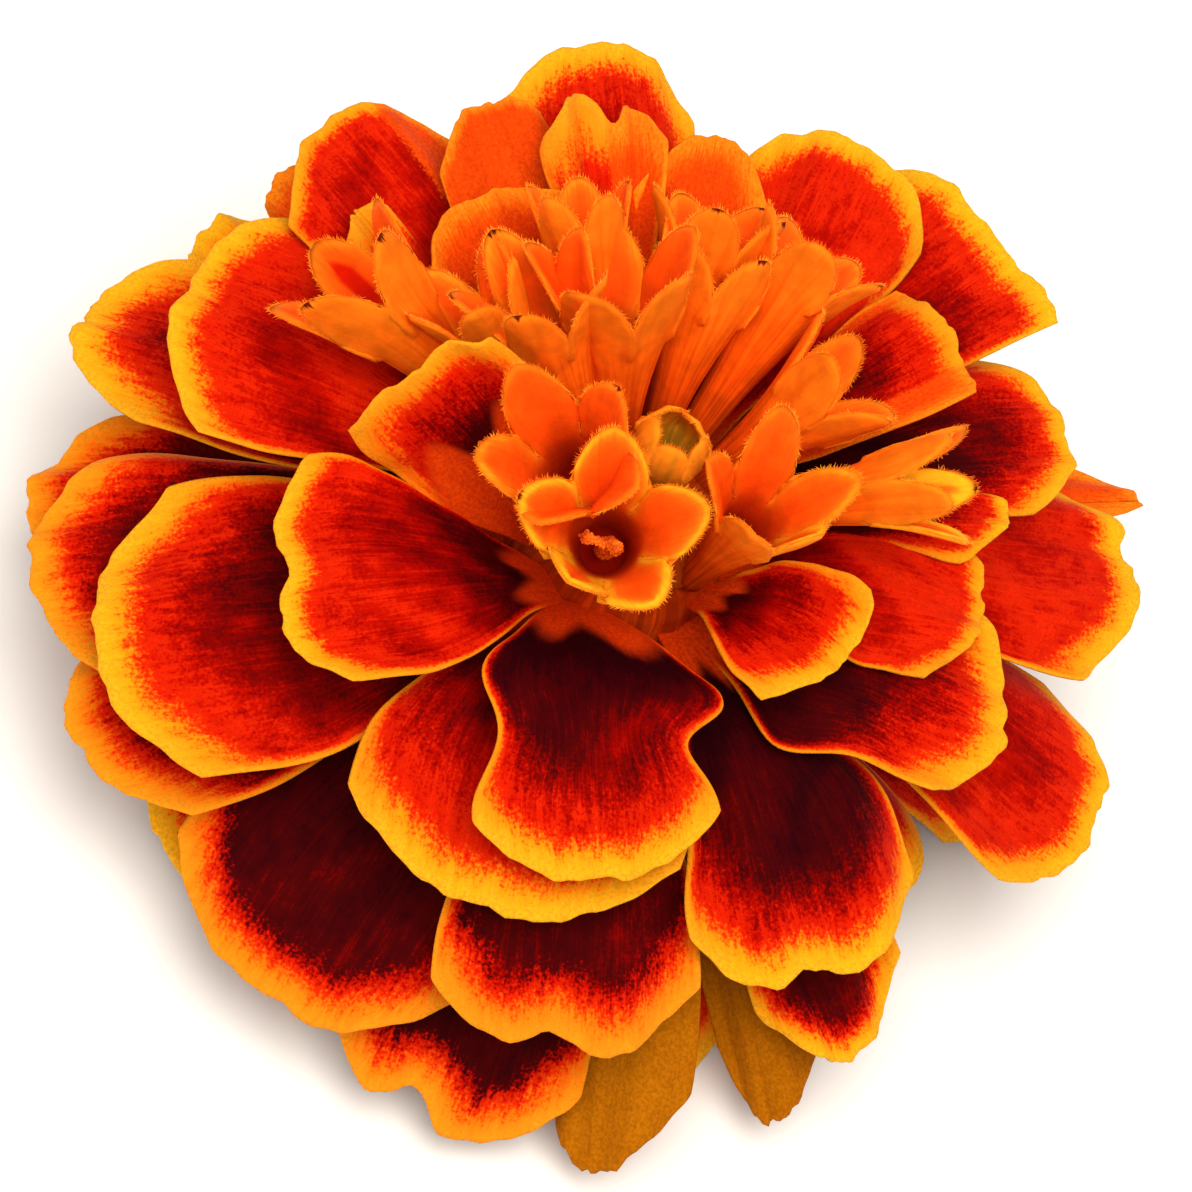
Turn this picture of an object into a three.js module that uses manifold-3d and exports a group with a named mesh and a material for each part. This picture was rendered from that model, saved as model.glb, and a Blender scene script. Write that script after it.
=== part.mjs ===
// Double French marigold bloom, picked and laid on a table, face up. Millimetres, +Z up, axis of the bloom on Z.
// Turn is the direction round Z in degrees: 0 is +X, 90 is +Y, and 270 is the side that the photograph looks from.
import * as THREE from "three";
import { mergeVertices } from "three/addons/utils/BufferGeometryUtils.js";
import Module from "manifold-3d";

const wasm = await Module();
wasm.setup();

// Driving sizes
const BLADE = 0.66;
const CLEARANCE = 0.3;
const CLAW_HALF = 0.8;
const CORE_RADIUS = 5.6;
const CORE_FLOOR = 11.9;
const CORE_TOP = 16.9;
const MOUND_RADIUS = 4.4;
const MOUND_RISE = 2.6;
const CUP_TOP = CORE_FLOOR - CLEARANCE;
const CUP_RIM = 5.5;
const CUT_RADIUS = 3.2;

// How finely a petal and a floret are split
const PETAL_ROWS = 6;
const PETAL_COLUMNS = 4;
const LOBE_COLUMNS = [-1, -0.72, 0, 0.72];
const LOBES = 5;
const THROAT = 0.55;

// Where the petals of each ring leave the core: distance from the axis and height
const RINGS = {
  crown: [4.7, 15.6],
  upper: [4.6, 15],
  middle: [4.6, 14.2],
  lower: [4.8, 13.4],
  hem: [4.8, 12.8],
};

// The half widths of a petal are given at these shares of its length, after the claw
const STATIONS = [0, 0.22, 0.4, 0.6, 0.8, 1];

// One entry for each petal: ring, turn of its tip, how far the tip lies round from the foot (sweep), control point
// of its arch and its tip as [out, up], then the half widths on the side that lies further round (ccw) and on the
// other side (cw), and what sets it apart.
const PETALS = [
  // Top layer, seen whole
  {
    ring: "upper", turn: 291, sweep: 26, arch: [12.5, 23.6], tip: [20.6, 17.5],
    ccw: [5, 7, 4.9, 6.2, 5.8], cw: [3, 5, 4.4, 5.8, 5.4], ruffle: 0.4, waves: 1.5, phase: 0.5,
  },
  {
    ring: "upper", turn: 230, sweep: -24, arch: [11, 22.4], tip: [20.2, 19],
    ccw: [1.8, 3.4, 4.8, 5, 4.6], cw: [2.2, 4, 5.9, 7.1, 6.4], notch: 0.05, at: -0.2,
  },
  {
    ring: "crown", turn: 200, sweep: -18, arch: [7.6, 21.6], tip: [13.4, 25.4],
    ccw: [2, 3.2, 4.2, 4.8, 4.4], cw: [2, 3, 4, 4.2, 3.8], round: 0.06, cup: -0.2, roll: -66, ruffle: 0.4,
  },
  {
    ring: "crown", turn: 345, arch: [8.2, 20.6], tip: [12.8, 20],
    ccw: [1.6, 2.4, 3, 3.4, 3], cw: [2, 3.4, 4.6, 4.8, 4.2], cup: 1,
  },
  {
    ring: "upper", turn: 17, sweep: 6, arch: [10, 21.2], tip: [18.1, 18],
    ccw: [2, 3.4, 4.4, 4.4, 3.4], cw: [2.4, 4, 4.8, 4.6, 4],
  },
  {
    ring: "upper", turn: 31, arch: [10, 21.8], tip: [18.7, 20],
    ccw: [0.9, 1.2, 1.5, 1.8, 1.6], cw: [1, 1.4, 1.8, 2.6, 2.4],
  },
  {
    ring: "crown", turn: 60, arch: [10, 21.4], tip: [17.8, 23],
    ccw: [1.2, 2, 2.8, 3.4, 3.4], cw: [1.2, 2, 2.8, 3.4, 3.6], round: 0.04,
  },
  {
    ring: "crown", turn: 154, arch: [9.6, 20.2], tip: [16.4, 23.4],
    ccw: [1.2, 2, 3.2, 4.4, 4], cw: [1.4, 2.6, 4, 4.8, 4.6], cup: 0.8,
  },
  {
    ring: "upper", turn: 127, arch: [10, 22.6], tip: [20.4, 24],
    ccw: [1, 1.6, 2.3, 3.2, 3], cw: [1, 1.6, 2.2, 3, 3.4], notch: 0.08, at: -0.2, cup: 0.6,
  },
  {
    ring: "upper", turn: 140, arch: [11, 21.2], tip: [21.8, 22],
    ccw: [1.2, 2.4, 3.4, 3.8, 3.4], cw: [1.2, 2.2, 2.8, 3.2, 3.2],
  },
  {
    ring: "upper", turn: 167, arch: [11.6, 19.4], tip: [19.8, 21.6],
    ccw: [0.9, 1.5, 2, 2.4, 2.2], cw: [0.9, 1.5, 2, 2.4, 2.2], roll: 15,
  },
  // Second layer
  {
    ring: "middle", turn: 280, sweep: 14, arch: [12.5, 20.4], tip: [22.2, 14.5],
    ccw: [4, 6, 8, 8, 7.6], cw: [3.2, 5.5, 7.7, 8.2, 7.4], round: 0.2,
  },
  {
    ring: "middle", turn: 222, sweep: -20, arch: [14, 18.2], tip: [26.8, 12],
    ccw: [2.6, 5.4, 7.9, 8.2, 7.4], cw: [2.6, 5.6, 7.2, 7.2, 6.2],
  },
  {
    ring: "middle", turn: 3, sweep: 22, arch: [12, 19.4], tip: [21.4, 15.6],
    ccw: [2, 3.2, 4.5, 5.6, 5.6], cw: [3.2, 5.8, 4.8, 5, 4],
  },
  {
    ring: "middle", turn: 322, sweep: -6, arch: [13, 18.2], tip: [24.3, 12],
    ccw: [1.5, 3.5, 6.4, 7.2, 6.8], cw: [1.5, 2.8, 4.3, 5.8, 5.6], notch: 0.03, at: -0.1,
  },
  {
    ring: "middle", turn: 47, sweep: -6, arch: [13, 19.8], tip: [25, 16.6],
    ccw: [1.8, 2.8, 3.6, 4.8, 4.6], cw: [1.5, 2.6, 3.6, 4.4, 4.2],
  },
  {
    ring: "middle", turn: 184, arch: [12, 20.8], tip: [24.8, 18],
    ccw: [2, 4, 6, 7.2, 6.8], cw: [3, 5, 6, 6.6, 6],
  },
  {
    ring: "middle", turn: 90, sweep: 8, arch: [12, 21.6], tip: [23.5, 22],
    ccw: [1.2, 2.2, 3.4, 4.2, 4.2], cw: [1.4, 2.8, 4.4, 5.6, 5.6],
  },
  {
    ring: "middle", turn: 122, arch: [12, 22], tip: [24.8, 22],
    ccw: [1.2, 2.4, 3.8, 5.6, 5.6], cw: [1.2, 2.4, 3.4, 4.4, 4.4],
  },
  {
    ring: "middle", turn: 156, arch: [12, 21.4], tip: [25, 20],
    ccw: [1.6, 2.8, 4.4, 5.8, 5.8], cw: [1.4, 2.4, 3.4, 4.4, 4.6],
  },
  // Third layer
  {
    ring: "lower", turn: 34, arch: [15, 17.6], tip: [28.6, 12],
    ccw: [2, 3.4, 4.4, 5.2, 5.2], cw: [2, 3.8, 5.6, 6.8, 5.8],
  },
  {
    ring: "lower", turn: 70, arch: [13.4, 20.6], tip: [25.9, 20],
    ccw: [1.5, 3, 4.4, 5.8, 6.6], cw: [1.5, 2.8, 3.8, 4.8, 5.8], round: 0.03,
  },
  {
    ring: "lower", turn: 186, arch: [14, 18], tip: [29, 12],
    ccw: [1.5, 3.2, 4.6, 4.6, 4.2], cw: [1.5, 3.2, 4.6, 5.8, 5.4],
  },
  {
    ring: "lower", turn: 211, arch: [15, 15.2], tip: [28.6, 9],
    ccw: [2, 4.5, 6.6, 7.2, 7], cw: [2, 3.6, 4.8, 5.6, 5.2],
  },
  {
    ring: "lower", turn: 229, arch: [15, 14.2], tip: [28, 7.6],
    ccw: [2, 4, 6, 6.4, 5.6], cw: [2, 3.6, 4.8, 5, 4.8],
  },
  {
    ring: "lower", turn: 264, sweep: 8, arch: [16, 15], tip: [27, 4.8],
    ccw: [2, 4.4, 6.8, 7, 6.6], cw: [2, 4.8, 7.2, 8.6, 8.4],
  },
  {
    ring: "lower", turn: 295, sweep: 12, arch: [16, 16.6], tip: [26, 9.5],
    ccw: [2, 3.6, 5.4, 5.8, 5.6], cw: [2, 4.2, 6.2, 7.3, 7], notch: 0.05, at: -0.2,
  },
  {
    ring: "lower", turn: 8, arch: [14, 15.8], tip: [28.6, 8.6],
    ccw: [2, 3.4, 4.6, 5.6, 5.6], cw: [2, 3.2, 4.8, 6.8, 6.6],
  },
  {
    ring: "lower", turn: 164, arch: [14, 17.6], tip: [25, 16.4],
    ccw: [1.5, 2.4, 3.2, 3.4, 3.2], cw: [1.5, 2.4, 3.2, 3.2, 3], roll: -60,
  },
  // Hem, mostly hidden by the layers above
  {
    ring: "hem", turn: 200, arch: [15, 12.8], tip: [28.4, 6],
    ccw: [2, 3, 4, 5, 5], cw: [2, 3, 3.8, 4.8, 4.6],
  },
  {
    ring: "hem", turn: 284, arch: [17, 11.8], tip: [28.2, 2],
    ccw: [2, 4, 5.2, 6, 6.4], cw: [2, 4, 5.6, 6.6, 6.6], notch: 0.07, at: -0.25,
  },
  {
    ring: "hem", turn: 300, arch: [16, 11], tip: [28.6, 2.2],
    ccw: [2, 3.2, 4.2, 4.4, 3.4], cw: [2, 3, 3.4, 3.2, 2.8], roll: 40,
  },
  {
    ring: "hem", turn: 327, arch: [15, 12.8], tip: [27, 7],
    ccw: [2, 3, 3.8, 4.8, 4.4], cw: [2, 2.6, 3, 3.2, 3],
  },
  {
    ring: "hem", turn: 320, arch: [15, 9.6], tip: [27.4, 2.6],
    ccw: [1.6, 2.2, 3, 3.4, 3], cw: [1.2, 1.6, 1.8, 1.8, 1.6], roll: 30,
  },
  {
    ring: "hem", turn: 43, arch: [15, 14.6], tip: [31, 10.8],
    ccw: [2, 3, 4, 4.6, 2.6], cw: [2, 2.4, 2.2, 1.6, 1], round: 0.4,
  },
  {
    ring: "hem", turn: 168, arch: [14, 13.8], tip: [26.6, 12.4],
    ccw: [1.5, 2.6, 3.8, 4.4, 4.2], cw: [1.5, 2.6, 3.4, 3.8, 3.6],
  },
  // A plain petal that stands behind the florets
  {
    ring: "crown", turn: 108, arch: [10.5, 19.6], tip: [18.8, 24],
    ccw: [1.2, 2.4, 3.6, 3.8, 2.8], cw: [1.2, 2.4, 3.6, 3.8, 2.8], round: 0.25, cup: 0.6,
  },
];

// Petals under the others, which only show from below and behind: turn, height of the tip and reach
const UNDER = [
  [20, -0.2, 26.4],
  [42, 6, 27],
  [62, 3, 26.2],
  [82, 9.5, 26.6],
  [98, -0.2, 25.6],
  [112, 11, 26.4],
  [133, 4.4, 26],
  [150, 9, 26.6],
  [172, -0.2, 25.8],
  [214, -0.2, 23.6],
  [241, 3, 24.6],
  [262, -0.2, 24],
  [308, -0.2, 24],
  [344, 4.6, 22.4],
];

// Disc florets: turn and lean of the tube from upright, its length, mouth radius, length of the lobes,
// how far they flare, and the turn of the lobes round the tube. The more a tube leans, the further out it starts,
// unless out gives its place. Droop is how much more the lobes on the low side flare.
const FLORETS = [
  { turn: 266, lean: 24, out: 4, tube: 7.4, mouth: 1.9, lobe: 4.4, flare: 35, spin: 30, wide: 0.6, droop: -16 },
  { turn: 234, lean: 31, tube: 7, mouth: 1.9, lobe: 5.2, flare: 24, spin: 15, wide: 0.4, droop: -6 },
  { turn: 176, lean: 49, tube: 8, mouth: 1.5, lobe: 4.5, flare: 18, spin: 25 },
  { turn: 182, lean: 66, tube: 10.8, mouth: 1.8, lobe: 6, flare: 20, spin: 0, wide: 0.5 },
  { turn: 170, lean: 38, tube: 7.6, mouth: 1.7, lobe: 5.2, flare: 24, spin: 8 },
  { turn: 144, lean: 32, tube: 6.8, mouth: 2, lobe: 5.4, flare: 22, spin: 16, wide: 0.5 },
  { turn: 106, lean: 42, tube: 7.2, mouth: 1.9, lobe: 4.2, flare: 16, spin: 36 },
  { turn: 84, lean: 50, tube: 9.4, mouth: 1.9, lobe: 3.8, flare: 26, spin: 5 },
  { turn: 55, lean: 45, tube: 6, mouth: 1.7, lobe: 4.4, flare: 22, spin: 5 },
  { turn: 338, lean: 10, out: 4.2, tube: 7.2, mouth: 1.6, lobe: 5, flare: 24, spin: 33, wide: 0.4, droop: -14 },
  { turn: 22, lean: 50, tube: 8.2, mouth: 1.4, lobe: 5.4, flare: 16, spin: 57 },
  { turn: 107, lean: 51, tube: 8.8, mouth: 1.8, lobe: 4, flare: 20, spin: 62 },
  { turn: 140, lean: 49, tube: 9.6, mouth: 1.5, lobe: 3.6, flare: 14, spin: 10 },
  { turn: 100, lean: 3, tube: 3.6, mouth: 1.6, lobe: 2.2, flare: -20, spin: 0 },
];

const radians = THREE.MathUtils.degToRad;

function smooth(x) {
  const t = Math.min(Math.max(x, 0), 1);
  return t * t * (3 - 2 * t);
}

// A point given by its distance from the axis, its turn in degrees and its height
function polar(out, turn, up) {
  const angle = radians(turn);
  return new THREE.Vector3(out * Math.cos(angle), out * Math.sin(angle), up);
}

// A smooth curve through the widths at STATIONS
function widthAt(widths, s) {
  const w = [CLAW_HALF, ...widths];
  const last = w.length - 1;
  let k = 0;
  while (k < last - 1 && s > STATIONS[k + 1]) k += 1;
  const slope = (i) => {
    const low = Math.max(i - 1, 0);
    const high = Math.min(i + 1, last);
    return (w[high] - w[low]) / (STATIONS[high] - STATIONS[low]);
  };
  const step = STATIONS[k + 1] - STATIONS[k];
  const t = (s - STATIONS[k]) / step;
  return (
    (1 + 2 * t) * (1 - t) ** 2 * w[k] +
    t * (1 - t) ** 2 * step * slope(k) +
    t * t * (3 - 2 * t) * w[k + 1] +
    t * t * (t - 1) * step * slope(k + 1)
  );
}

// A point of the petal's middle surface: u runs from claw to end, v from the cw to the ccw margin
function petalPoint(petal, u, v) {
  const side = Math.abs(v);
  const notch = petal.notch * Math.exp(-(((v - petal.at) / 0.2) ** 2));
  const s = u * (1 - petal.round * side ** 2.8 - notch);
  const [footOut, footUp] = RINGS[petal.ring];
  const foot = polar(footOut, petal.turn - petal.sweep, footUp);
  const arch = polar(petal.arch[0], petal.turn - petal.sweep / 2, petal.arch[1]);
  const tip = polar(petal.tip[0], petal.turn, petal.tip[1]);
  const line = new THREE.QuadraticBezierCurve3(foot, arch, tip);
  const centre = line.getPoint(s);
  const along = arch.clone().sub(foot).multiplyScalar(1 - s).addScaledVector(tip.clone().sub(arch), s).normalize();
  const level = polar(1, petal.turn + 90, 0);
  const across = level.addScaledVector(along, -level.dot(along)).normalize();
  const lift = new THREE.Vector3().crossVectors(along, across);
  const roll = radians(petal.roll) * smooth(s * 1.6);
  const rolledAcross = across.clone().multiplyScalar(Math.cos(roll)).addScaledVector(lift, Math.sin(roll));
  const rolledLift = lift.clone().multiplyScalar(Math.cos(roll)).addScaledVector(across, -Math.sin(roll));
  const half = widthAt(v > 0 ? petal.ccw : petal.cw, s);
  const wave = petal.ruffle * s ** 1.5 * side ** 0.7 * Math.sin(Math.PI * (petal.waves * v + petal.phase));
  const rise = petal.cup * v * v * smooth(s * 2) + wave;
  return centre.addScaledVector(rolledAcross, v * half).addScaledVector(rolledLift, rise);
}

// The upward normal of the petal's middle surface
function petalNormal(petal, u, v) {
  const step = 0.01;
  const u0 = Math.max(u - step, 0);
  const u1 = Math.min(u + step, 1);
  const v0 = Math.max(v - step, -1);
  const v1 = Math.min(v + step, 1);
  const alongU = petalPoint(petal, u1, v).sub(petalPoint(petal, u0, v));
  const alongV = petalPoint(petal, u, v1).sub(petalPoint(petal, u, v0));
  return alongU.cross(alongV).normalize();
}

// A closed triangle mesh as a solid
function solidOf(points, faces) {
  const geometry = new THREE.BufferGeometry().setFromPoints(points);
  geometry.setIndex(faces.flat());
  return solidOfGeometry(geometry);
}

function solidOfGeometry(geometry) {
  const bare = geometry.clone();
  bare.deleteAttribute("normal");
  bare.deleteAttribute("uv");
  const merged = mergeVertices(bare, 1e-4);
  return new wasm.Manifold(
    new wasm.Mesh({
      numProp: 3,
      vertProperties: new Float32Array(merged.attributes.position.array),
      triVerts: new Uint32Array(merged.index.array),
    }),
  );
}

// A petal as a blade: both faces are split alike, and the rim joins them
function petalSolid(entry) {
  const petal = { sweep: 0, cup: -0.8, roll: 0, ruffle: 0.8, round: 0.15, notch: 0, at: 0, ...entry };
  const points = [];
  const columns = PETAL_COLUMNS + 1;
  const rows = PETAL_ROWS + 1;
  for (const sign of [1, -1]) {
    for (let i = 0; i < rows; i += 1) {
      for (let j = 0; j < columns; j += 1) {
        const u = i / PETAL_ROWS;
        const v = (2 * j) / PETAL_COLUMNS - 1;
        const normal = petalNormal(petal, u, v);
        points.push(petalPoint(petal, u, v).addScaledVector(normal, (sign * BLADE) / 2));
      }
    }
  }
  const below = rows * columns;
  const faces = [];
  for (let i = 0; i < PETAL_ROWS; i += 1) {
    for (let j = 0; j < PETAL_COLUMNS; j += 1) {
      const a = i * columns + j;
      const b = a + columns;
      faces.push([a, b, b + 1], [a, b + 1, a + 1]);
      faces.push([below + b + 1, below + b, below + a], [below + a + 1, below + b + 1, below + a]);
    }
  }
  const rim = [];
  for (let i = 0; i < PETAL_ROWS; i += 1) rim.push(i * columns);
  for (let j = 0; j < PETAL_COLUMNS; j += 1) rim.push(PETAL_ROWS * columns + j);
  for (let i = PETAL_ROWS; i > 0; i -= 1) rim.push(i * columns + PETAL_COLUMNS);
  for (let j = PETAL_COLUMNS; j > 0; j -= 1) rim.push(j);
  rim.forEach((a, i) => {
    const b = rim[(i + 1) % rim.length];
    faces.push([below + a, below + b, b], [below + a, b, a]);
  });
  return solidOf(points, faces);
}

// A petal of the rule for the hidden ones
function underPetal([turn, height, reach]) {
  return {
    ring: "hem",
    turn,
    arch: [14.5, 9 + height * 0.35],
    tip: [reach, height],
    ccw: [1.8, 3.2, 4.6, 5.4, 5],
    cw: [1.8, 3.4, 4.8, 5.2, 4.8],
  };
}

// A point of a floret's middle surface: u runs up the tube to 1 and along a lobe to 2,
// e runs across one lobe from cleft to cleft
function floretPoint(floret, u, lobe, e) {
  const lean = radians(floret.lean);
  const axis = polar(Math.sin(lean), floret.turn, Math.cos(lean));
  const side = polar(1, floret.turn + 90, 0);
  const outward = new THREE.Vector3().crossVectors(side, axis);
  const baseOut = floret.out ?? Math.min(floret.lean / 55, 1) * MOUND_RADIUS * 0.9;
  const baseUp = CORE_TOP + CLEARANCE + MOUND_RISE * Math.sqrt(1 - (baseOut / MOUND_RADIUS) ** 2) - 0.6;
  const base = polar(baseOut, floret.turn, baseUp);
  const sector = Math.PI / LOBES;
  const middle = 2 * sector * (lobe + 0.5) + radians(floret.spin);
  let rise = floret.tube * Math.min(u, 1);
  let radius = 0.6 + (floret.mouth - 0.6) * Math.min(u, 1) ** 1.8;
  let alongX = radius * Math.cos(middle + e * sector);
  let alongY = radius * Math.sin(middle + e * sector);
  if (u > 1) {
    const k = u - 1;
    const outline = 0.06 + 0.94 * Math.sqrt(1 - Math.abs(e) ** 2.2);
    const reach = k * outline * floret.lobe;
    const spread = floret.flare + floret.droop * Math.cos(middle);
    const flare = radians(spread) * (0.4 + (0.6 * reach) / floret.lobe);
    rise += reach * Math.cos(flare);
    radius = floret.mouth + reach * Math.sin(flare);
    const across = e * sector * floret.mouth * (1 + floret.wide * Math.sin(Math.PI * k * 0.75));
    const blend = Math.abs(e) === 1 ? 0 : Math.min(1, 4 * k);
    const ringX = radius * Math.cos(middle + e * sector);
    const ringY = radius * Math.sin(middle + e * sector);
    alongX = ringX + blend * (radius * Math.cos(middle) - across * Math.sin(middle) - ringX);
    alongY = ringY + blend * (radius * Math.sin(middle) + across * Math.cos(middle) - ringY);
  }
  return base.addScaledVector(axis, rise).addScaledVector(outward, alongX).addScaledVector(side, alongY);
}

// The outward normal of a floret's middle surface
function floretNormal(floret, u, lobe, e) {
  const step = 0.02;
  const low = u > 1 ? Math.max(u - step, 1.001) : Math.max(u - step, 0);
  const high = u > 1 ? Math.min(u + step, 2) : Math.min(u + step, 1);
  const e0 = e === -1 ? -1 : e - step;
  const e1 = e === -1 ? -1 + step : e + step;
  const up = floretPoint(floret, high, lobe, e).sub(floretPoint(floret, low, lobe, e));
  const round = floretPoint(floret, Math.min(u, 1), lobe, e1).sub(floretPoint(floret, Math.min(u, 1), lobe, e0));
  return round.cross(up).normalize();
}

// A floret as one closed body: a funnel with a blind throat and five lobes
function floretSolid(entry) {
  const floret = { wide: 0.3, droop: 0, ...entry };
  const columns = LOBES * LOBE_COLUMNS.length;
  const outer = [0, 1, 2];
  const inner = [2, 1];
  const points = [];
  const ring = (u, sign) => {
    for (let j = 0; j < columns; j += 1) {
      const lobe = Math.floor(j / LOBE_COLUMNS.length);
      const e = LOBE_COLUMNS[j % LOBE_COLUMNS.length];
      const normal = floretNormal(floret, u, lobe, e);
      points.push(floretPoint(floret, u, lobe, e).addScaledVector(normal, (sign * BLADE) / 2));
    }
  };
  outer.forEach((u) => ring(u, 1));
  inner.forEach((u) => ring(u, -1));
  const faces = [];
  const rings = outer.length + inner.length;
  for (let i = 0; i < rings - 1; i += 1) {
    for (let j = 0; j < columns; j += 1) {
      const a = i * columns + j;
      const b = i * columns + ((j + 1) % columns);
      faces.push([a, b, b + columns], [a, b + columns, a + columns]);
    }
  }
  const centreAt = (u) => {
    const sum = new THREE.Vector3();
    for (let lobe = 0; lobe < LOBES; lobe += 1) sum.add(floretPoint(floret, u, lobe, 0));
    return sum.divideScalar(LOBES);
  };
  const foot = points.length;
  points.push(centreAt(0), centreAt(THROAT));
  for (let j = 0; j < columns; j += 1) {
    const next = (j + 1) % columns;
    const last = (rings - 1) * columns;
    faces.push([foot, next, j], [foot + 1, last + j, last + next]);
  }
  return solidOf(points, faces);
}

// A body turned from a profile of [radius, height] that starts and ends on the axis
function turned(profile, segments) {
  const points = profile.map(([radius, height]) => new THREE.Vector2(radius, height));
  const geometry = new THREE.LatheGeometry(points, segments);
  geometry.rotateX(Math.PI / 2);
  return solidOfGeometry(geometry);
}

function join(solids) {
  return solids.reduce((whole, solid) => whole.add(solid));
}

// The largest body of a solid, without the loose scraps that cutting leaves
function mainBody(solid) {
  return solid.decompose().sort((a, b) => b.volume() - a.volume())[0];
}

function meshOf(name, solid, color, roughness) {
  const { vertProperties, triVerts } = solid.getMesh();
  const geometry = new THREE.BufferGeometry();
  geometry.setAttribute("position", new THREE.BufferAttribute(vertProperties, 3));
  geometry.setIndex(new THREE.BufferAttribute(triVerts, 1));
  geometry.computeVertexNormals();
  const material = new THREE.MeshStandardMaterial({ color, roughness, metalness: 0 });
  const mesh = new THREE.Mesh(geometry, material);
  mesh.name = name;
  return mesh;
}

// Ray petals, fused at the core that they grow from, and cut level where the lowest ones lie on the table
const core = turned(
  [
    [0, CORE_FLOOR],
    [4.4, CORE_FLOOR],
    [CORE_RADIUS, CORE_FLOOR + 1.2],
    [CORE_RADIUS - 0.4, CORE_TOP - 1.2],
    [4.6, CORE_TOP],
    [0, CORE_TOP],
  ],
  20,
);
const table = new THREE.BoxGeometry(80, 80, 10);
table.translate(0, 0, -5);
const petals = [...PETALS, ...UNDER.map(underPetal)].map((petal, i) =>
  petalSolid({ phase: i * 0.37, waves: 1.5 + 0.5 * (i % 3), ...petal }),
);
const mound = turned(
  [
    [0, CORE_TOP + CLEARANCE],
    [MOUND_RADIUS, CORE_TOP + CLEARANCE],
    [MOUND_RADIUS * 0.86, CORE_TOP + CLEARANCE + MOUND_RISE * 0.5],
    [MOUND_RADIUS * 0.5, CORE_TOP + CLEARANCE + MOUND_RISE * 0.87],
    [0, CORE_TOP + CLEARANCE + MOUND_RISE],
  ],
  20,
);
const disc = join([mound, ...FLORETS.map(floretSolid)]);
const rays = join([core, ...petals]).subtract(solidOfGeometry(table));

// Green cup under the petals, cut off square where the stem was
const cup = turned(
  [
    [0, 0],
    [CUT_RADIUS, 0],
    [CUT_RADIUS - 0.2, 1.2],
    [4.4, 3.6],
    [5.3, 7],
    [CUP_RIM, CUP_TOP],
    [0, CUP_TOP],
  ],
  20,
);

export default new THREE.Group().add(
  meshOf("ray_petals", mainBody(rays), 0xa01505, 0.7),
  meshOf("disc_florets", mainBody(disc), 0xf26a08, 0.65),
  meshOf("involucre", cup, 0x6f8a3a, 0.75),
);
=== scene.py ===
"""The looks of a double French marigold bloom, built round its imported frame.

Every piece keeps the form of the solid that it stands for. Petals and florets follow the same formulas, on
a finer grid and about as thin as real ones. Shapes are worked out in millimetres and made in metres, +Z up,
with the axis of the bloom on Z. Turn is the direction round Z in degrees: 0 is +X, 90 is +Y, and 270 is
the side that the camera looks from.
"""

import logging
import math
from collections.abc import Callable, Sequence
from dataclasses import dataclass, replace
from enum import Enum

import bpy
import numpy as np
from mathutils import Matrix, Vector


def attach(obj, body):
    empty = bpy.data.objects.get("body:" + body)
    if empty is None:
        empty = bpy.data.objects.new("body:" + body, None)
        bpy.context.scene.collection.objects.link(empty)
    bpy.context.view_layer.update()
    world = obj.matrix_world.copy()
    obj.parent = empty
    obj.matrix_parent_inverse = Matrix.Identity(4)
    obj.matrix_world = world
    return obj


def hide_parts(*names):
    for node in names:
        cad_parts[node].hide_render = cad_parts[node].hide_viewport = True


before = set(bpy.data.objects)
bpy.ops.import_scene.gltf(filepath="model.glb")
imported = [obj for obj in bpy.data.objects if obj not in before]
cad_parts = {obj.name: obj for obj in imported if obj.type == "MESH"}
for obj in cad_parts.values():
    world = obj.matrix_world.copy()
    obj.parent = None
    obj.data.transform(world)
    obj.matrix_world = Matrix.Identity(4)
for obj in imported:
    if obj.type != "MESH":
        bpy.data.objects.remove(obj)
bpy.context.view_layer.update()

Array = np.ndarray
Faces = list[tuple[int, ...]]
Material = bpy.types.Material
NodeTree = bpy.types.NodeTree
Object = bpy.types.Object
Outline = tuple[tuple[float, float], ...]
Socket = bpy.types.NodeSocket
Sockets = dict[str, Socket]
Stops = tuple[tuple[float, str], ...]

log = logging.getLogger("marigold")

MM = 0.001
BODY = "root"


# Small helpers


def smooth(x: Array | float) -> Array:
    """Eases from 0 to 1 as x goes from 0 to 1."""
    t = np.clip(x, 0.0, 1.0)
    return t * t * (3.0 - 2.0 * t)


def ease(x: Array | float, low: float, high: float) -> Array:
    """Eases from 0 to 1 as x goes from low to high."""
    return smooth((np.asarray(x) - low) / (high - low))


def bell(x: Array | float, middle: float, width: float) -> Array:
    """A bump of height 1 round the middle."""
    return np.exp(-(((np.asarray(x) - middle) / width) ** 2))


def unit(vectors: Array) -> Array:
    """The vectors at length 1, along their last axis."""
    return vectors / np.maximum(np.linalg.norm(vectors, axis=-1, keepdims=True), 1e-9)


def polar(out: float, turn: float, up: float) -> Array:
    """A point from its distance from the axis, its turn in degrees and its height."""
    angle = math.radians(turn)
    return np.array([out * math.cos(angle), out * math.sin(angle), up])


def nearest(points: Array, line: Array) -> Array:
    """How far each point lies from a line given by close points.

    Args:
        points: Rows by columns by 3.
        line: Points of the line by 3.

    Returns:
        The distances, rows by columns.
    """
    flat = points.reshape(-1, 3)
    square = (flat**2).sum(1)[:, None] + (line**2).sum(1)[None, :] - 2.0 * flat @ line.T
    return np.sqrt(np.maximum(square.min(1), 0.0)).reshape(points.shape[:-1])


def refined(line: Array, parts: int = 4) -> Array:
    """Splits each step of a line in equal parts.

    Args:
        line: Its points, one in each row.
        parts: How many parts a step gets.

    Returns:
        The points of the finer line.
    """
    steps = np.arange(len(line) - 1)[:, None] + np.arange(parts)[None, :] / parts
    at = np.append(steps.ravel(), len(line) - 1.0)
    return np.stack([np.interp(at, np.arange(len(line)), column) for column in line.T], axis=1)


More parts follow.
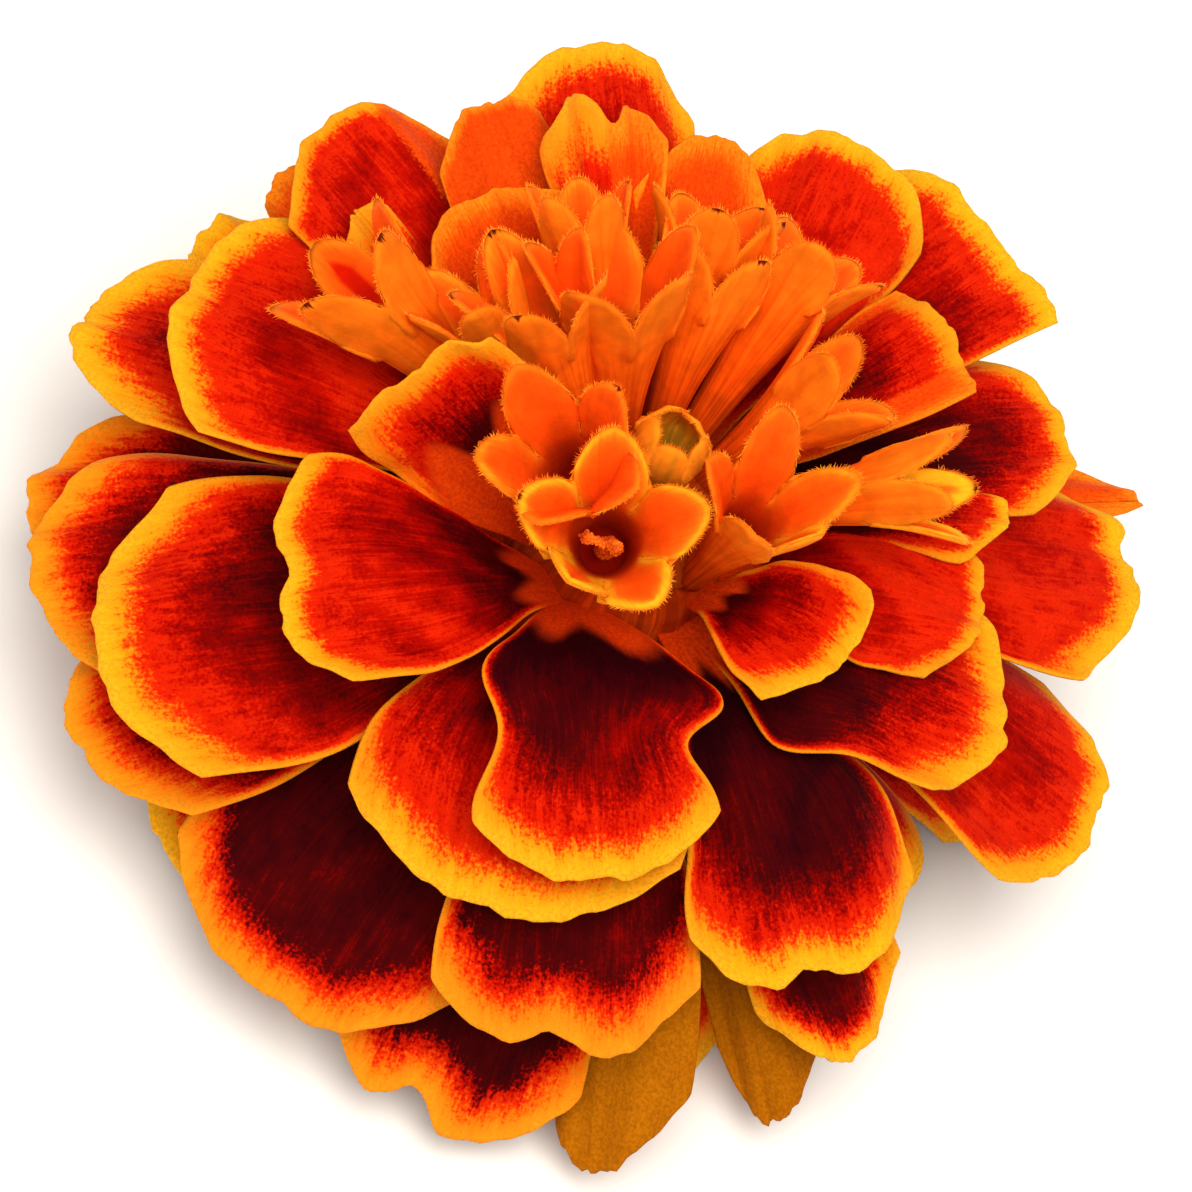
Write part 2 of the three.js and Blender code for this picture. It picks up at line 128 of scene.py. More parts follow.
def rounded_half(inset: Array, rim: float, thickness: float) -> Array:
    """Half the thickness of a wall that is rounded off towards its edge.

    Args:
        inset: How far each point lies from the edge.
        rim: How far in the wall reaches its full thickness.
        thickness: The full thickness.

    Returns:
        The half thickness at each point.
    """
    full = np.clip(inset / rim, 0.0, 1.0)
    return thickness / 2.0 * np.sqrt(np.maximum(1.0 - (1.0 - full) ** 2, 0.0))


def paint(code: str) -> tuple[float, float, float, float]:
    """Turns a colour into Blender's linear values.

    Args:
        code: Its usual six-digit code.

    Returns:
        Red, green, blue and a full alpha.
    """
    values = [int(code[i : i + 2], 16) / 255.0 for i in (0, 2, 4)]
    linear = [v / 12.92 if v <= 0.04045 else ((v + 0.055) / 1.055) ** 2.4 for v in values]
    return (linear[0], linear[1], linear[2], 1.0)


def linked(name: str, data: bpy.types.ID) -> Object:
    """Puts an object in the scene.

    Args:
        name: Its name.
        data: Its mesh, lamp or camera.

    Returns:
        The object, at the origin.
    """
    made = bpy.data.objects.new(name, data)
    bpy.context.scene.collection.objects.link(made)
    return made


@dataclass(frozen=True)
class Waves:
    """A seeded wavy line, made of a few waves.

    Attributes:
        height: The most that it swings to either side.
        steps: Radians of each wave for a step of 1.
        shift: What is added to the seed of the thing that it waves.
    """

    height: float
    steps: tuple[float, ...]
    shift: int = 0

    def at(self, t: Array, seed: int) -> Array:
        """Follows the line.

        Args:
            t: Where on the line.
            seed: Sets the phase and height of each wave.

        Returns:
            The height of the line at t.
        """
        rng = np.random.default_rng(seed + self.shift)
        phases = rng.uniform(0.0, 2.0 * math.pi, len(self.steps))
        heights = rng.uniform(0.5, 1.0, len(self.steps)) * (self.steps[0] / np.array(self.steps)) ** 0.5
        total = sum(h * np.sin(w * t + p) for w, p, h in zip(self.steps, phases, heights))
        return self.height * (total / heights.sum())


# Meshes


def blade_faces(rows: int, columns: int) -> Faces:
    """Faces of a blade whose two sides share their rim.

    The upper side's points come first, row by row, and then the lower side's points inside the rim.

    Args:
        rows: Points along the blade.
        columns: Points across the blade.

    Returns:
        The faces of both sides.
    """
    upper = np.arange(rows * columns).reshape(rows, columns)
    lower = upper.copy()
    lower[1:-1, 1:-1] = rows * columns + np.arange((rows - 2) * (columns - 2)).reshape(rows - 2, -1)
    top = np.stack([upper[:-1, :-1], upper[1:, :-1], upper[1:, 1:], upper[:-1, 1:]], axis=-1)
    under = np.stack([lower[:-1, :-1], lower[:-1, 1:], lower[1:, 1:], lower[1:, :-1]], axis=-1)
    quads = np.concatenate([top.reshape(-1, 4), under.reshape(-1, 4)])
    return [tuple(quad) for quad in quads.tolist()]


def ring_faces(rings: int, sides: int) -> Faces:
    """Faces of a stack of rings that ends in a pole at either end.

    The rings' points come first, ring by ring, and then the pole of the first ring and that of the last.

    Args:
        rings: How many rings there are.
        sides: Points in a ring.

    Returns:
        The faces.
    """
    low, high, last = rings * sides, rings * sides + 1, (rings - 1) * sides
    faces: Faces = []
    for i in range(sides):
        j = (i + 1) % sides
        faces.extend((k + i, k + j, k + sides + j, k + sides + i) for k in range(0, last, sides))
        faces.extend(((low, j, i), (high, last + i, last + j)))
    return faces


def flipped(faces: Faces) -> Faces:
    """The same faces as seen from their other side."""
    return [face[::-1][2:] + face[::-1][:2] for face in faces]


@dataclass
class Skin:
    """A closed surface as arrays, with values that follow it.

    Attributes:
        points: Vertices in millimetres.
        faces: Corner numbers of each face, anticlockwise from outside.
        values: A number for each vertex under each name.
        grain: Across and along on the surface in millimetres, for each vertex.
    """

    points: Array
    faces: Faces
    values: dict[str, Array]
    grain: Array

    @staticmethod
    def joined(skins: Sequence["Skin"]) -> "Skin":
        """Puts skins together, each still closed by itself.

        Args:
            skins: Skins whose values have the same names.

        Returns:
            All of them as one.
        """
        starts = np.cumsum([0] + [len(skin.points) for skin in skins]).tolist()
        faces = [tuple(start + k for k in face) for start, skin in zip(starts, skins) for face in skin.faces]
        values = {key: np.concatenate([skin.values[key] for skin in skins]) for key in skins[0].values}
        points = np.concatenate([skin.points for skin in skins])
        return Skin(points, faces, values, np.concatenate([skin.grain for skin in skins]))

    @staticmethod
    def blade(
        points: Array, offset: Array, grain: Array, values: dict[str, Array], under: dict[str, Array]
    ) -> "Skin":
        """A thin blade round its middle surface, whose two sides share their rim.

        Args:
            points: The middle surface, rows by columns by 3.
            offset: The way from each of its points to the upper side.
            grain: Across and along at each of them.
            values: The numbers on the upper side.
            under: Those that differ on the lower side.

        Returns:
            Its closed skin.
        """
        inside = (slice(1, -1), slice(1, -1))

        def sides(upper: Array, lower: Array) -> Array:
            """The upper side, and then what the lower side has inside the rim."""
            flat = (-1, *upper.shape[2:])
            return np.concatenate([upper.reshape(flat), lower[inside].reshape(flat)])

        doubled = {key: sides(value, under.get(key, value)) for key, value in values.items()}
        both = sides(points + offset, points - offset)
        return Skin(both, blade_faces(*points.shape[:2]), doubled, sides(grain, grain))

    @staticmethod
    def tube(path: Array, radii: Array, sides: int) -> "Skin":
        """A closed tube along a path, with a pole at each end and without values.

        Args:
            path: Points of its centreline.
            radii: Its radius at each of them.
            sides: How many sides it has.

        Returns:
            Its closed skin.
        """
        aside = np.array([0.31, 0.95, 0.05])
        along = unit(np.gradient(path, axis=0))
        right = unit(np.cross(along, aside))
        front = np.cross(right, along)
        angles = np.arange(sides)[None, :, None] * 2.0 * math.pi / sides
        ring = right[:, None] * np.cos(angles) + front[:, None] * np.sin(angles)
        points = (path[:, None] + ring * radii[:, None, None]).reshape(-1, 3)
        ends = [path[:1] - along[:1] * radii[0], path[-1:] + along[-1:] * radii[-1]]
        points = np.concatenate([points, *ends])
        return Skin(points, flipped(ring_faces(len(path), sides)), {}, points[:, :2])

    @staticmethod
    def turned(profile: Array, sides: int, shape: Callable[[Array, Array, Array], Array]) -> "Skin":
        """A turned body whose radius may vary round it, without values.

        Args:
            profile: Radius and height of each point, from the foot on the axis to the top on the axis.
            sides: How many points go round.
            shape: Gives the radius from the plain radius, the height and the angle.

        Returns:
            Its closed skin.
        """
        angles = np.arange(sides)[None, :] * 2.0 * math.pi / sides
        inner = profile[1:-1]
        out = shape(inner[:, :1], inner[:, 1:], angles)
        up = np.repeat(inner[:, 1:], sides, axis=1)
        ring = np.stack([out * np.cos(angles), out * np.sin(angles), up], axis=-1)
        ends = np.array([[0.0, 0.0, profile[0, 1]], [0.0, 0.0, profile[-1, 1]]])
        points = np.concatenate([ring.reshape(-1, 3), ends])
        reach = np.hypot(points[:, 0], points[:, 1]).max()
        grain = np.stack([np.arctan2(points[:, 1], points[:, 0]) * reach, points[:, 2]], axis=-1)
        return Skin(points, ring_faces(len(inner), sides), {}, grain)

    def evenly(self, **values: float) -> "Skin":
        """Gives the whole skin one number under each name, and hands it back."""
        self.values = {key: np.full(len(self.points), value) for key, value in values.items()}
        return self

    def mesh_object(self, name: str, material: Material) -> Object:
        """Makes the Blender object of the skin.

        Args:
            name: The object's name.
            material: What covers it.

        Returns:
            The object, at the origin, with its place in its mesh.
        """
        mesh = bpy.data.meshes.new(name)
        mesh.from_pydata((self.points * MM).tolist(), [], self.faces)
        mesh.polygons.foreach_set("use_smooth", np.ones(len(mesh.polygons), bool))
        for key, values in self.values.items():
            layer = mesh.attributes.new(key, "FLOAT", "POINT")
            layer.data.foreach_set("value", values.astype(np.float32))
        corners = np.zeros(len(mesh.loops), np.int32)
        mesh.loops.foreach_get("vertex_index", corners)
        layer = mesh.uv_layers.new(name="grain")
        layer.data.foreach_set("uv", self.grain[corners].astype(np.float32).ravel())
        mesh.materials.append(material)
        mesh.update()
        return linked(name, mesh)


# Node trees

FLOAT = "NodeSocketFloat"
VECTOR = "NodeSocketVector"
GEOMETRY = "NodeSocketGeometry"
MATERIAL = "NodeSocketMaterial"
KINDS = {float: FLOAT, int: "NodeSocketInt"}

# Numbers of the sockets that a Mix node has for colours and a Random Value node for plain numbers
MIX_A, MIX_B, MIXED = 6, 7, 2
LEAST, MOST, DRAWN = 2, 3, 1


class Tree:
    """A short way to write the nodes of a material or a group.

    Attributes:
        tree: The node tree that it writes to.
    """

    def __init__(self, tree: NodeTree) -> None:
        """Starts on a node tree."""
        self.tree = tree

    def feed(self, socket: Socket, value: object) -> None:
        """Links the value to the socket, or sets it there.

        Args:
            socket: An input socket.
            value: Another node's output socket, or a plain value.
        """
        if isinstance(value, Socket):
            self.tree.links.new(value, socket)
        else:
            socket.default_value = value

    def add(
        self, kind: str, inputs: dict[str | int, object] | None = None, **settings: object
    ) -> bpy.types.Node:
        """Adds a node.

        Args:
            kind: Blender's name for the node.
            inputs: What goes into its sockets, by name or number.
            settings: The node's own settings.

        Returns:
            The node.
        """
        node = self.tree.nodes.new(kind)
        for name, value in settings.items():
            setattr(node, name, value)
        for key, value in (inputs or {}).items():
            self.feed(node.inputs[key], value)
        return node

    def math(self, operation: str, first: object, second: object = 0.0) -> Socket:
        """The result of a sum on two numbers."""
        return self.add("ShaderNodeMath", {0: first, 1: second}, operation=operation).outputs[0]

    def total(self, start: object, *terms: tuple[Socket, float], clamp: bool = False) -> Socket:
        """Adds up numbers that have a weight.

        Args:
            start: What they are added to.
            terms: Each number with its weight.
            clamp: Whether the result is kept from 0 to 1.

        Returns:
            The result.
        """
        for left, (value, weight) in zip(reversed(range(len(terms))), terms):
            inputs = {0: value, 1: weight, 2: start}
            node = self.add("ShaderNodeMath", inputs, operation="MULTIPLY_ADD", use_clamp=clamp and left == 0)
            start = node.outputs[0]
        return start

    def value(self, name: str) -> Socket:
        """A number that the mesh carries under a name."""
        return self.add("ShaderNodeAttribute", attribute_name=name).outputs["Fac"]

    def spread(self, value: object, low: object, high: object) -> Socket:
        """Eases from 0 to 1 as the value goes from low to high."""
        inputs = {"Value": value, "From Min": low, "From Max": high}
        return self.add("ShaderNodeMapRange", inputs, interpolation_type="SMOOTHSTEP").outputs["Result"]

    def ramp(self, value: object, stops: Stops) -> Socket:
        """A colour along a ramp.

        Args:
            value: Where on the ramp, from 0 to 1.
            stops: Place and colour of each stop, in order.

        Returns:
            The colour socket.
        """
        node = self.add("ShaderNodeValToRGB", {0: value})
        elements = node.color_ramp.elements
        for place, _ in stops[1:-1]:
            elements.new(place)
        for element, (place, code) in zip(elements, stops):
            element.position = place
            element.color = paint(code)
        return node.outputs["Color"]

    def mix(self, share: object, first: object, second: object, blend: str = "MIX") -> Socket:
        """The second colour over the first, by its share."""
        inputs = {0: share, MIX_A: first, MIX_B: second}
        return self.add("ShaderNodeMix", inputs, data_type="RGBA", blend_type=blend).outputs[MIXED]


def new_tree(
    kind: str, name: str, inputs: dict[str, float | int | str], outputs: dict[str, str]
) -> tuple[NodeTree, Tree, bpy.types.NodeOutputs, bpy.types.NodeInputs]:
    """Starts a group of shader nodes or a tree of Geometry Nodes.

    Args:
        kind: Blender's name for the kind of tree.
        name: The tree's name.
        inputs: First value of each input, or the kind of its socket where it has none.
        outputs: Kind of each output's socket.

    Returns:
        The tree, its writer, the sockets that give its inputs and those that take its outputs.
    """
    made = bpy.data.node_groups.new(name, kind)
    for key, value in inputs.items():
        socket_type = KINDS.get(type(value), value)
        socket = made.interface.new_socket(key, in_out="INPUT", socket_type=socket_type)
        if type(value) in KINDS:
            socket.default_value = value
    for key, socket_type in outputs.items():
        made.interface.new_socket(key, in_out="OUTPUT", socket_type=socket_type)
    writer = Tree(made)
    return made, writer, writer.add("NodeGroupInput").outputs, writer.add("NodeGroupOutput").inputs


# Finishes


def fibre_group() -> NodeTree:
    """The streaks that run along the grain of a petal, a broad set and a fine one, and its thin veins.

    Returns:
        The group. Its streaks lie round 0, and its veins go from 0 to 1.
    """
    inputs = {"Grain": VECTOR, "Width": 0.5, "Length": 4.0}
    outputs = {"Broad": FLOAT, "Fine": FLOAT, "Veins": FLOAT}
    made, tree, given, out = new_tree("ShaderNodeTree", "petal_fibres", inputs, outputs)
    for name, finer, stretch in (("Broad", 1.0, 0.8), ("Fine", 3.4, 0.8), ("Veins", 0.8, 0.16)):
        across = tree.math("DIVIDE", finer, given["Width"])
        along = tree.math("DIVIDE", finer * stretch, given["Length"])
        scale = tree.add("ShaderNodeCombineXYZ", {0: across, 1: along, 2: 1.0}).outputs[0]
        place = tree.add("ShaderNodeVectorMath", {0: given["Grain"], 1: scale}, operation="MULTIPLY")
        noise = tree.add("ShaderNodeTexNoise", {"Vector": place.outputs[0], "Scale": 1.0, "Detail": 1.0})
        value = tree.math("SUBTRACT", noise.outputs["Fac"], 0.5)
        if name == "Veins":
            value = tree.spread(tree.math("ABSOLUTE", value), 0.05, 0.0)
        tree.feed(out[name], value)
    return made


def velvet_group() -> NodeTree:
    """The tiny bulging cells of a petal's skin.

    Returns:
        The group. Its sparkle and the mottle of its patches lie round 0.
    """
    inputs = {"Vector": VECTOR, "Cells": 5000.0, "Depth": 0.00004}
    outputs = {"Sparkle": FLOAT, "Mottle": FLOAT, "Normal": VECTOR}
    made, tree, given, out = new_tree("ShaderNodeTree", "velvet_cells", inputs, outputs)
    patches = tree.math("MULTIPLY", given["Cells"], 0.14)
    layers = (("Sparkle", given["Cells"], 1.5, 0.65), ("Mottle", patches, 2.0, 0.6))
    for name, scale, detail, roughness in layers:
        settings = {"Vector": given["Vector"], "Scale": scale, "Detail": detail, "Roughness": roughness}
        noise = tree.add("ShaderNodeTexNoise", settings).outputs["Fac"]
        tree.feed(out[name], tree.math("SUBTRACT", noise, 0.5))
        if name == "Sparkle":
            bump = tree.add("ShaderNodeBump", {"Height": noise, "Distance": given["Depth"], "Strength": 0.6})
            tree.feed(out["Normal"], bump.outputs["Normal"])
    return made


@dataclass(frozen=True)
class Effects:
    """The node groups that more than one finish uses.

    Attributes:
        fibres: Streaks and veins along the grain.
        velvet: Cells and patches, and the cells' bumps.
    """

    fibres: NodeTree
    velvet: NodeTree


def new_material(name: str) -> tuple[Material, Tree, bpy.types.Node]:
    """Starts a material.

    Args:
        name: Its name.

    Returns:
        The material, its writer and its Principled node.
    """
    made = bpy.data.materials.new(name)
    made.use_nodes = True
    made.node_tree.nodes.clear()
    tree = Tree(made.node_tree)
    shader = tree.add("ShaderNodeBsdfPrincipled")
    tree.add("ShaderNodeOutputMaterial", {"Surface": shader.outputs[0]})
    return made, tree, shader


@dataclass(frozen=True)
class Finish:
    """What every finish of the bloom shares: the grain and cells of its skin, and a dull shine.

    Attributes:
        name: The material's name.
        fibre: Width and length of its streaks in millimetres, or None where it has none.
        cells: How fine its cells are.
        depth: How deep they are, in metres.
        roughness: Halfway between its patches.
        uneven: How far the roughness goes from patch to patch.
        specular: How strong the shine is.
        tint: Colour of the shine.
    """

    name: str
    fibre: tuple[float, float] | None = None
    cells: float = 6300.0
    depth: float = 0.00002
    roughness: float = 0.7
    uneven: float = 0.0
    specular: float = 0.1
    tint: str = "ffffff"

    def colour(self, tree: Tree, look: Sockets) -> Socket:
        """Works the colour out, which each finish does in its own way.

        Args:
            tree: The material's writer.
            look: What the shared groups give, by name.

        Returns:
            The colour socket.
        """
        raise NotImplementedError

    def material(self, effects: Effects) -> Material:
        """Builds the material.

        Args:
            effects: The shared groups.

        Returns:
            The material.
        """
        made, tree, shader = new_material(self.name)
        where = tree.add("ShaderNodeTexCoord").outputs["Object"]
        cells = {"Vector": where, "Cells": self.cells, "Depth": self.depth}
        groups = [tree.add("ShaderNodeGroup", cells, node_tree=effects.velvet)]
        if self.fibre:
            grain = tree.add("ShaderNodeUVMap", uv_map="grain").outputs[0]
            streaks = {"Grain": grain, "Width": self.fibre[0], "Length": self.fibre[1]}
            groups.append(tree.add("ShaderNodeGroup", streaks, node_tree=effects.fibres))
        look = {key: socket for group in groups for key, socket in group.outputs.items()}
        patchy = tree.total(self.roughness, (look["Mottle"], self.uneven)) if self.uneven else self.roughness
        inputs = {
            "Base Color": self.colour(tree, look),
            "Roughness": patchy,
            "Normal": look["Normal"],
            "Specular IOR Level": self.specular,
            "Specular Tint": paint(self.tint),
        }
        for key, value in inputs.items():
            tree.feed(shader.inputs[key], value)
        return made


@dataclass(frozen=True)
class PetalFinish(Finish):
    """The skin of a ray petal: velvet red inside a gold margin, with orange claw and golden underside.

    The fields that every finish has are described in Finish.

    Attributes:
        yellow: Colours of a yellow margin from the edge inwards, by share of twice its width.
        orange: The same for an orange margin.
        heart: Colours of the red part, from bright to deep.
        claw: Colours of the orange foot, from its middle to its edge.
        plain: Colours of a petal that has no red.
        under: Colours of the lower side.
        glint: Painted shade and highlight of its cells, darker in their hollows and lighter on their tops.
    """

    name: str = "petal_velvet"
    fibre: tuple[float, float] | None = (0.36, 1.5)
    cells: float = 5600.0
    depth: float = 0.00004
    uneven: float = 0.16
    specular: float = 0.06
    tint: str = "ff8a40"
    yellow: Stops = (
        (0.0, "f4b020"), (0.18, "f6b216"), (0.34, "fb9c10"), (0.46, "fa640c"), (0.58, "e82c06"),
        (0.72, "cc1002"),
    )
    orange: Stops = ((0.0, "f6921a"), (0.24, "fb8212"), (0.4, "f65e0a"), (0.52, "e02a06"), (0.68, "cc1002"))
    heart: Stops = ((0.0, "e02406"), (0.14, "bc0c02"), (0.34, "880202"), (0.58, "4c0206"), (0.9, "280109"))
    claw: Stops = ((0.0, "fa500c"), (1.0, "cc2a04"))
    plain: Stops = ((0.0, "ea4408"), (0.45, "f65c0a"), (1.0, "fb8616"))
    under: Stops = ((0.0, "984e04"), (0.5, "b06406"), (1.0, "c4780a"))
    glint: Stops = ((0.0, "dcdcdc"), (1.0, "ffffff"))

    def colour(self, tree: Tree, look: Sockets) -> Socket:
        """Works the colour out from what the mesh carries.

        Args:
            tree: The material's writer.
            look: What the shared groups give, by name.

        Returns:
            The colour socket.
        """
        broad, fine, veins = look["Broad"], look["Fine"], look["Veins"]
        speckle, patches = look["Sparkle"], look["Mottle"]
        margin = tree.value("band")
        streaks = tree.total(0.0, (broad, 0.7), (fine, 0.5))
        ragged = tree.total(streaks, (speckle, 1.35))

        # The margin, and the red that deepens inwards from it
        band = tree.math("ADD", margin, ragged)
        place = tree.math("MULTIPLY", band, 0.5)
        edge = tree.mix(tree.value("gold"), tree.ramp(place, self.orange), tree.ramp(place, self.yellow))
        deep = tree.math("MULTIPLY", tree.spread(band, 0.9, tree.value("fade")), tree.value("tone"))
        uneven = ((patches, 0.36), (broad, 0.25), (fine, 0.12), (speckle, 0.52), (veins, -0.09))
        heart = tree.ramp(tree.total(deep, *uneven, clamp=True), self.heart)
        red = tree.mix(tree.spread(band, 1.0, 1.7), edge, heart)

        # The orange foot
        foot = tree.spread(tree.total(tree.value("claw"), (streaks, 0.25)), 0.15, 0.95)
        red = tree.mix(foot, red, tree.ramp(tree.total(0.5, (streaks, 1.0), clamp=True), self.claw))

        # Parts without red, and the lower side
        shade = tree.total(tree.spread(margin, 1.2, 0.05), (fine, 1.0), (veins, -0.2), clamp=True)
        cover = tree.spread(tree.total(tree.value("plain"), (ragged, 0.6)), 0.3, 0.7)
        upper = tree.mix(cover, red, tree.ramp(shade, self.plain))
        veined = tree.total(0.5, (patches, 0.35), (fine, 0.35), (veins, -0.12), clamp=True)
        skin = tree.mix(tree.value("under"), upper, tree.ramp(veined, self.under))
        # Painted shade in the cells' hollows and painted highlight on their tops, by the noise that also
        # bumps them
        return tree.mix(1.0, skin, tree.ramp(tree.spread(speckle, -0.2, 0.2), self.glint), "MULTIPLY")


@dataclass(frozen=True)
class FloretFinish(Finish):
    """The skin of a disc floret: satin orange, golden along the lobes' edges and deep in the throat.

    The fields that every finish has are described in Finish.

    Attributes:
        inner: Colours inside the lobes, from the edge inwards.
        outer: Colours of the tube's outside, from foot to mouth; the dark foot is painted shade.
        bud: Colours of an unopened floret, from foot to tip.
        rim: Colour of the outside along the lobes' edges.
        throat: Colour deep in the mouth, a dark red that is partly its own and partly painted shade inside
            the tube.
        blush: The red of some lobes.
        speck: The dark tip of some lobes.
        glint: Shade of its patches.
    """

    name: str = "floret_satin"
    fibre: tuple[float, float] | None = (0.35, 5.0)
    cells: float = 6000.0
    depth: float = 0.00003
    roughness: float = 0.6
    uneven: float = 0.14
    specular: float = 0.08
    tint: str = "ffa050"
    inner: Stops = ((0.0, "ffb81e"), (0.14, "ff9418"), (0.3, "ff7212"), (0.6, "ff600e"), (1.0, "ff560c"))
    outer: Stops = ((0.0, "a03004"), (0.35, "e64e06"), (0.65, "fe6c0e"), (1.0, "ff7c14"))
    bud: Stops = ((0.2, "8c7a18"), (0.6, "c88a1c"), (1.0, "fc961c"))
    rim: str = "ff9418"
    throat: str = "981004"
    blush: str = "dc1804"
    speck: str = "641806"
    glint: Stops = ((0.0, "e4e4e4"), (1.0, "ffffff"))

    def colour(self, tree: Tree, look: Sockets) -> Socket:
        """Works the colour out from what the mesh carries.

        Args:
            tree: The material's writer.
            look: What the shared groups give, by name.

        Returns:
            The colour socket.
        """
        broad, fine, margin = look["Broad"], look["Fine"], tree.value("margin")
        inner = tree.ramp(tree.total(margin, (fine, 0.22), clamp=True), self.inner)
        # The outside darkens down the tube towards its foot as painted shade among the florets
        along = tree.total(tree.value("height"), (broad, 0.9), clamp=True)
        outer = tree.mix(tree.spread(margin, 0.4, 0.0), tree.ramp(along, self.outer), paint(self.rim))
        body = tree.mix(tree.value("inside"), outer, inner)
        body = tree.mix(look["Veins"], body, tree.mix(0.12, body, paint(self.blush)))
        # Partly the throat's own red and partly painted shade deep inside the tube
        body = tree.mix(tree.value("throat"), body, paint(self.throat))
        blush = tree.spread(tree.math("ADD", tree.value("blush"), broad), 0.35, 0.75)
        body = tree.mix(blush, body, paint(self.blush))
        body = tree.mix(tree.value("bud"), body, tree.ramp(along, self.bud))
        speck = tree.spread(tree.math("ADD", tree.value("speck"), fine), 0.55, 0.8)
        body = tree.mix(speck, body, paint(self.speck))
        glint = tree.ramp(tree.spread(look["Mottle"], -0.2, 0.2), self.glint)
        return tree.mix(1.0, body, glint, "MULTIPLY")


@dataclass(frozen=True)
class FuzzFinish(Finish):
    """The skin of hairs, styles, pollen and glands, which varies from piece to piece.

    The fields that every finish has are described in Finish.

    Attributes:
        light: Its lightest colour.
        dark: Its darkest colour.
    """

    name: str = "golden_fuzz"
    light: str = "ffa224"
    dark: str = "fc7814"

    def colour(self, tree: Tree, look: Sockets) -> Socket:
        """Goes from dark to light in patches."""
        return tree.ramp(tree.spread(look["Mottle"], -0.15, 0.15), ((0.0, self.dark), (1.0, self.light)))


@dataclass(frozen=True)
class BractFinish(Finish):
    """The skin of the green cup: leaf green with paler ribs, and pale pith where it was cut.

    The fields that every finish has are described in Finish.

    Attributes:
        flesh: Its greens, from dark to light.
        rib: Colour along the ribs.
        tip: Colour of the free tips.
        pith: Colour of the cut face.
    """

    name: str = "bract_green"
    fibre: tuple[float, float] | None = (0.4, 6.0)
    cells: float = 4200.0
    depth: float = 0.00004
    roughness: float = 0.5
    uneven: float = 0.2
    specular: float = 0.4
    flesh: Stops = ((0.0, "3c5c1c"), (0.5, "5a7c28"), (1.0, "7c9a3a"))
    rib: str = "9cb45a"
    tip: str = "6e3a20"
    pith: str = "d8dca8"

    def colour(self, tree: Tree, look: Sockets) -> Socket:
        """Works the colour out from what the mesh carries.

        Args:
            tree: The material's writer.
            look: What the shared groups give, by name.

        Returns:
            The colour socket.
        """
        shade = tree.total(look["Broad"], (look["Mottle"], 0.3))
        body = tree.ramp(tree.spread(shade, -0.3, 0.3), self.flesh)
        marks = (("rib", 0.7, self.rib), ("tooth", 0.6, self.tip), ("pith", 1.0, self.pith))
        for name, most, code in marks:
            body = tree.mix(tree.math("MULTIPLY", tree.value(name), most), body, paint(code))
        return body


# Ray petals


class Ring(Enum):
    """Where a ring of petals leaves the core: distance from the axis and height."""

    CROWN = (4.7, 15.6)
    UPPER = (4.6, 15.0)
    MIDDLE = (4.6, 14.2)
    LOWER = (4.8, 13.4)
    HEM = (4.8, 12.8)


class Coat(Enum):
    """How the upper side of a petal is coloured."""

    RED = "red inside a gold margin"
    PLAIN = "golden orange all over"
    STRIPED = "orange with one red stripe"
    BACK = "golden brown, as on the lower side"


# Shares of the length at which a petal's half width is given, and its half width at the first
STATIONS = (0.0, 0.22, 0.4, 0.6, 0.8, 1.0)
CLAW_HALF = 0.8

# How its end draws back: width of a notch, how sharply the corners turn, and how much at least
NOTCH_WIDTH = 0.2
CORNER_POWER = 2.8
END_BACK = 0.014

# Where its two lengthwise pleats lie across, how wide and how deep
PLEATS = (0.34, -0.3)
PLEAT_WIDTH = 0.1
PLEAT_DEPTH = 0.16

# How softly the foot and the stripe of a petal end, as shares of its length and half width
CLAW_EDGE = 0.09
STRIPE_EDGE = 0.12

# Fine waves along the end, in the width, in the height of end and sides, all over, and in the tone
SCALLOPS = Waves(0.012, (6.0, 11.0, 19.0, 33.0))
NIBBLES = Waves(0.012, (11.0, 19.0, 33.0), shift=1)
FRILL = Waves(0.2, (6.0, 11.0, 17.0), shift=2)
SIDE_FRILL = Waves(0.16, (13.0, 22.0, 35.0), shift=3)
SWELL = Waves(0.18, (1.1, 2.3, 3.1), shift=4)
BLOTCHES = Waves(0.22, (1.3, 2.9, 5.3))


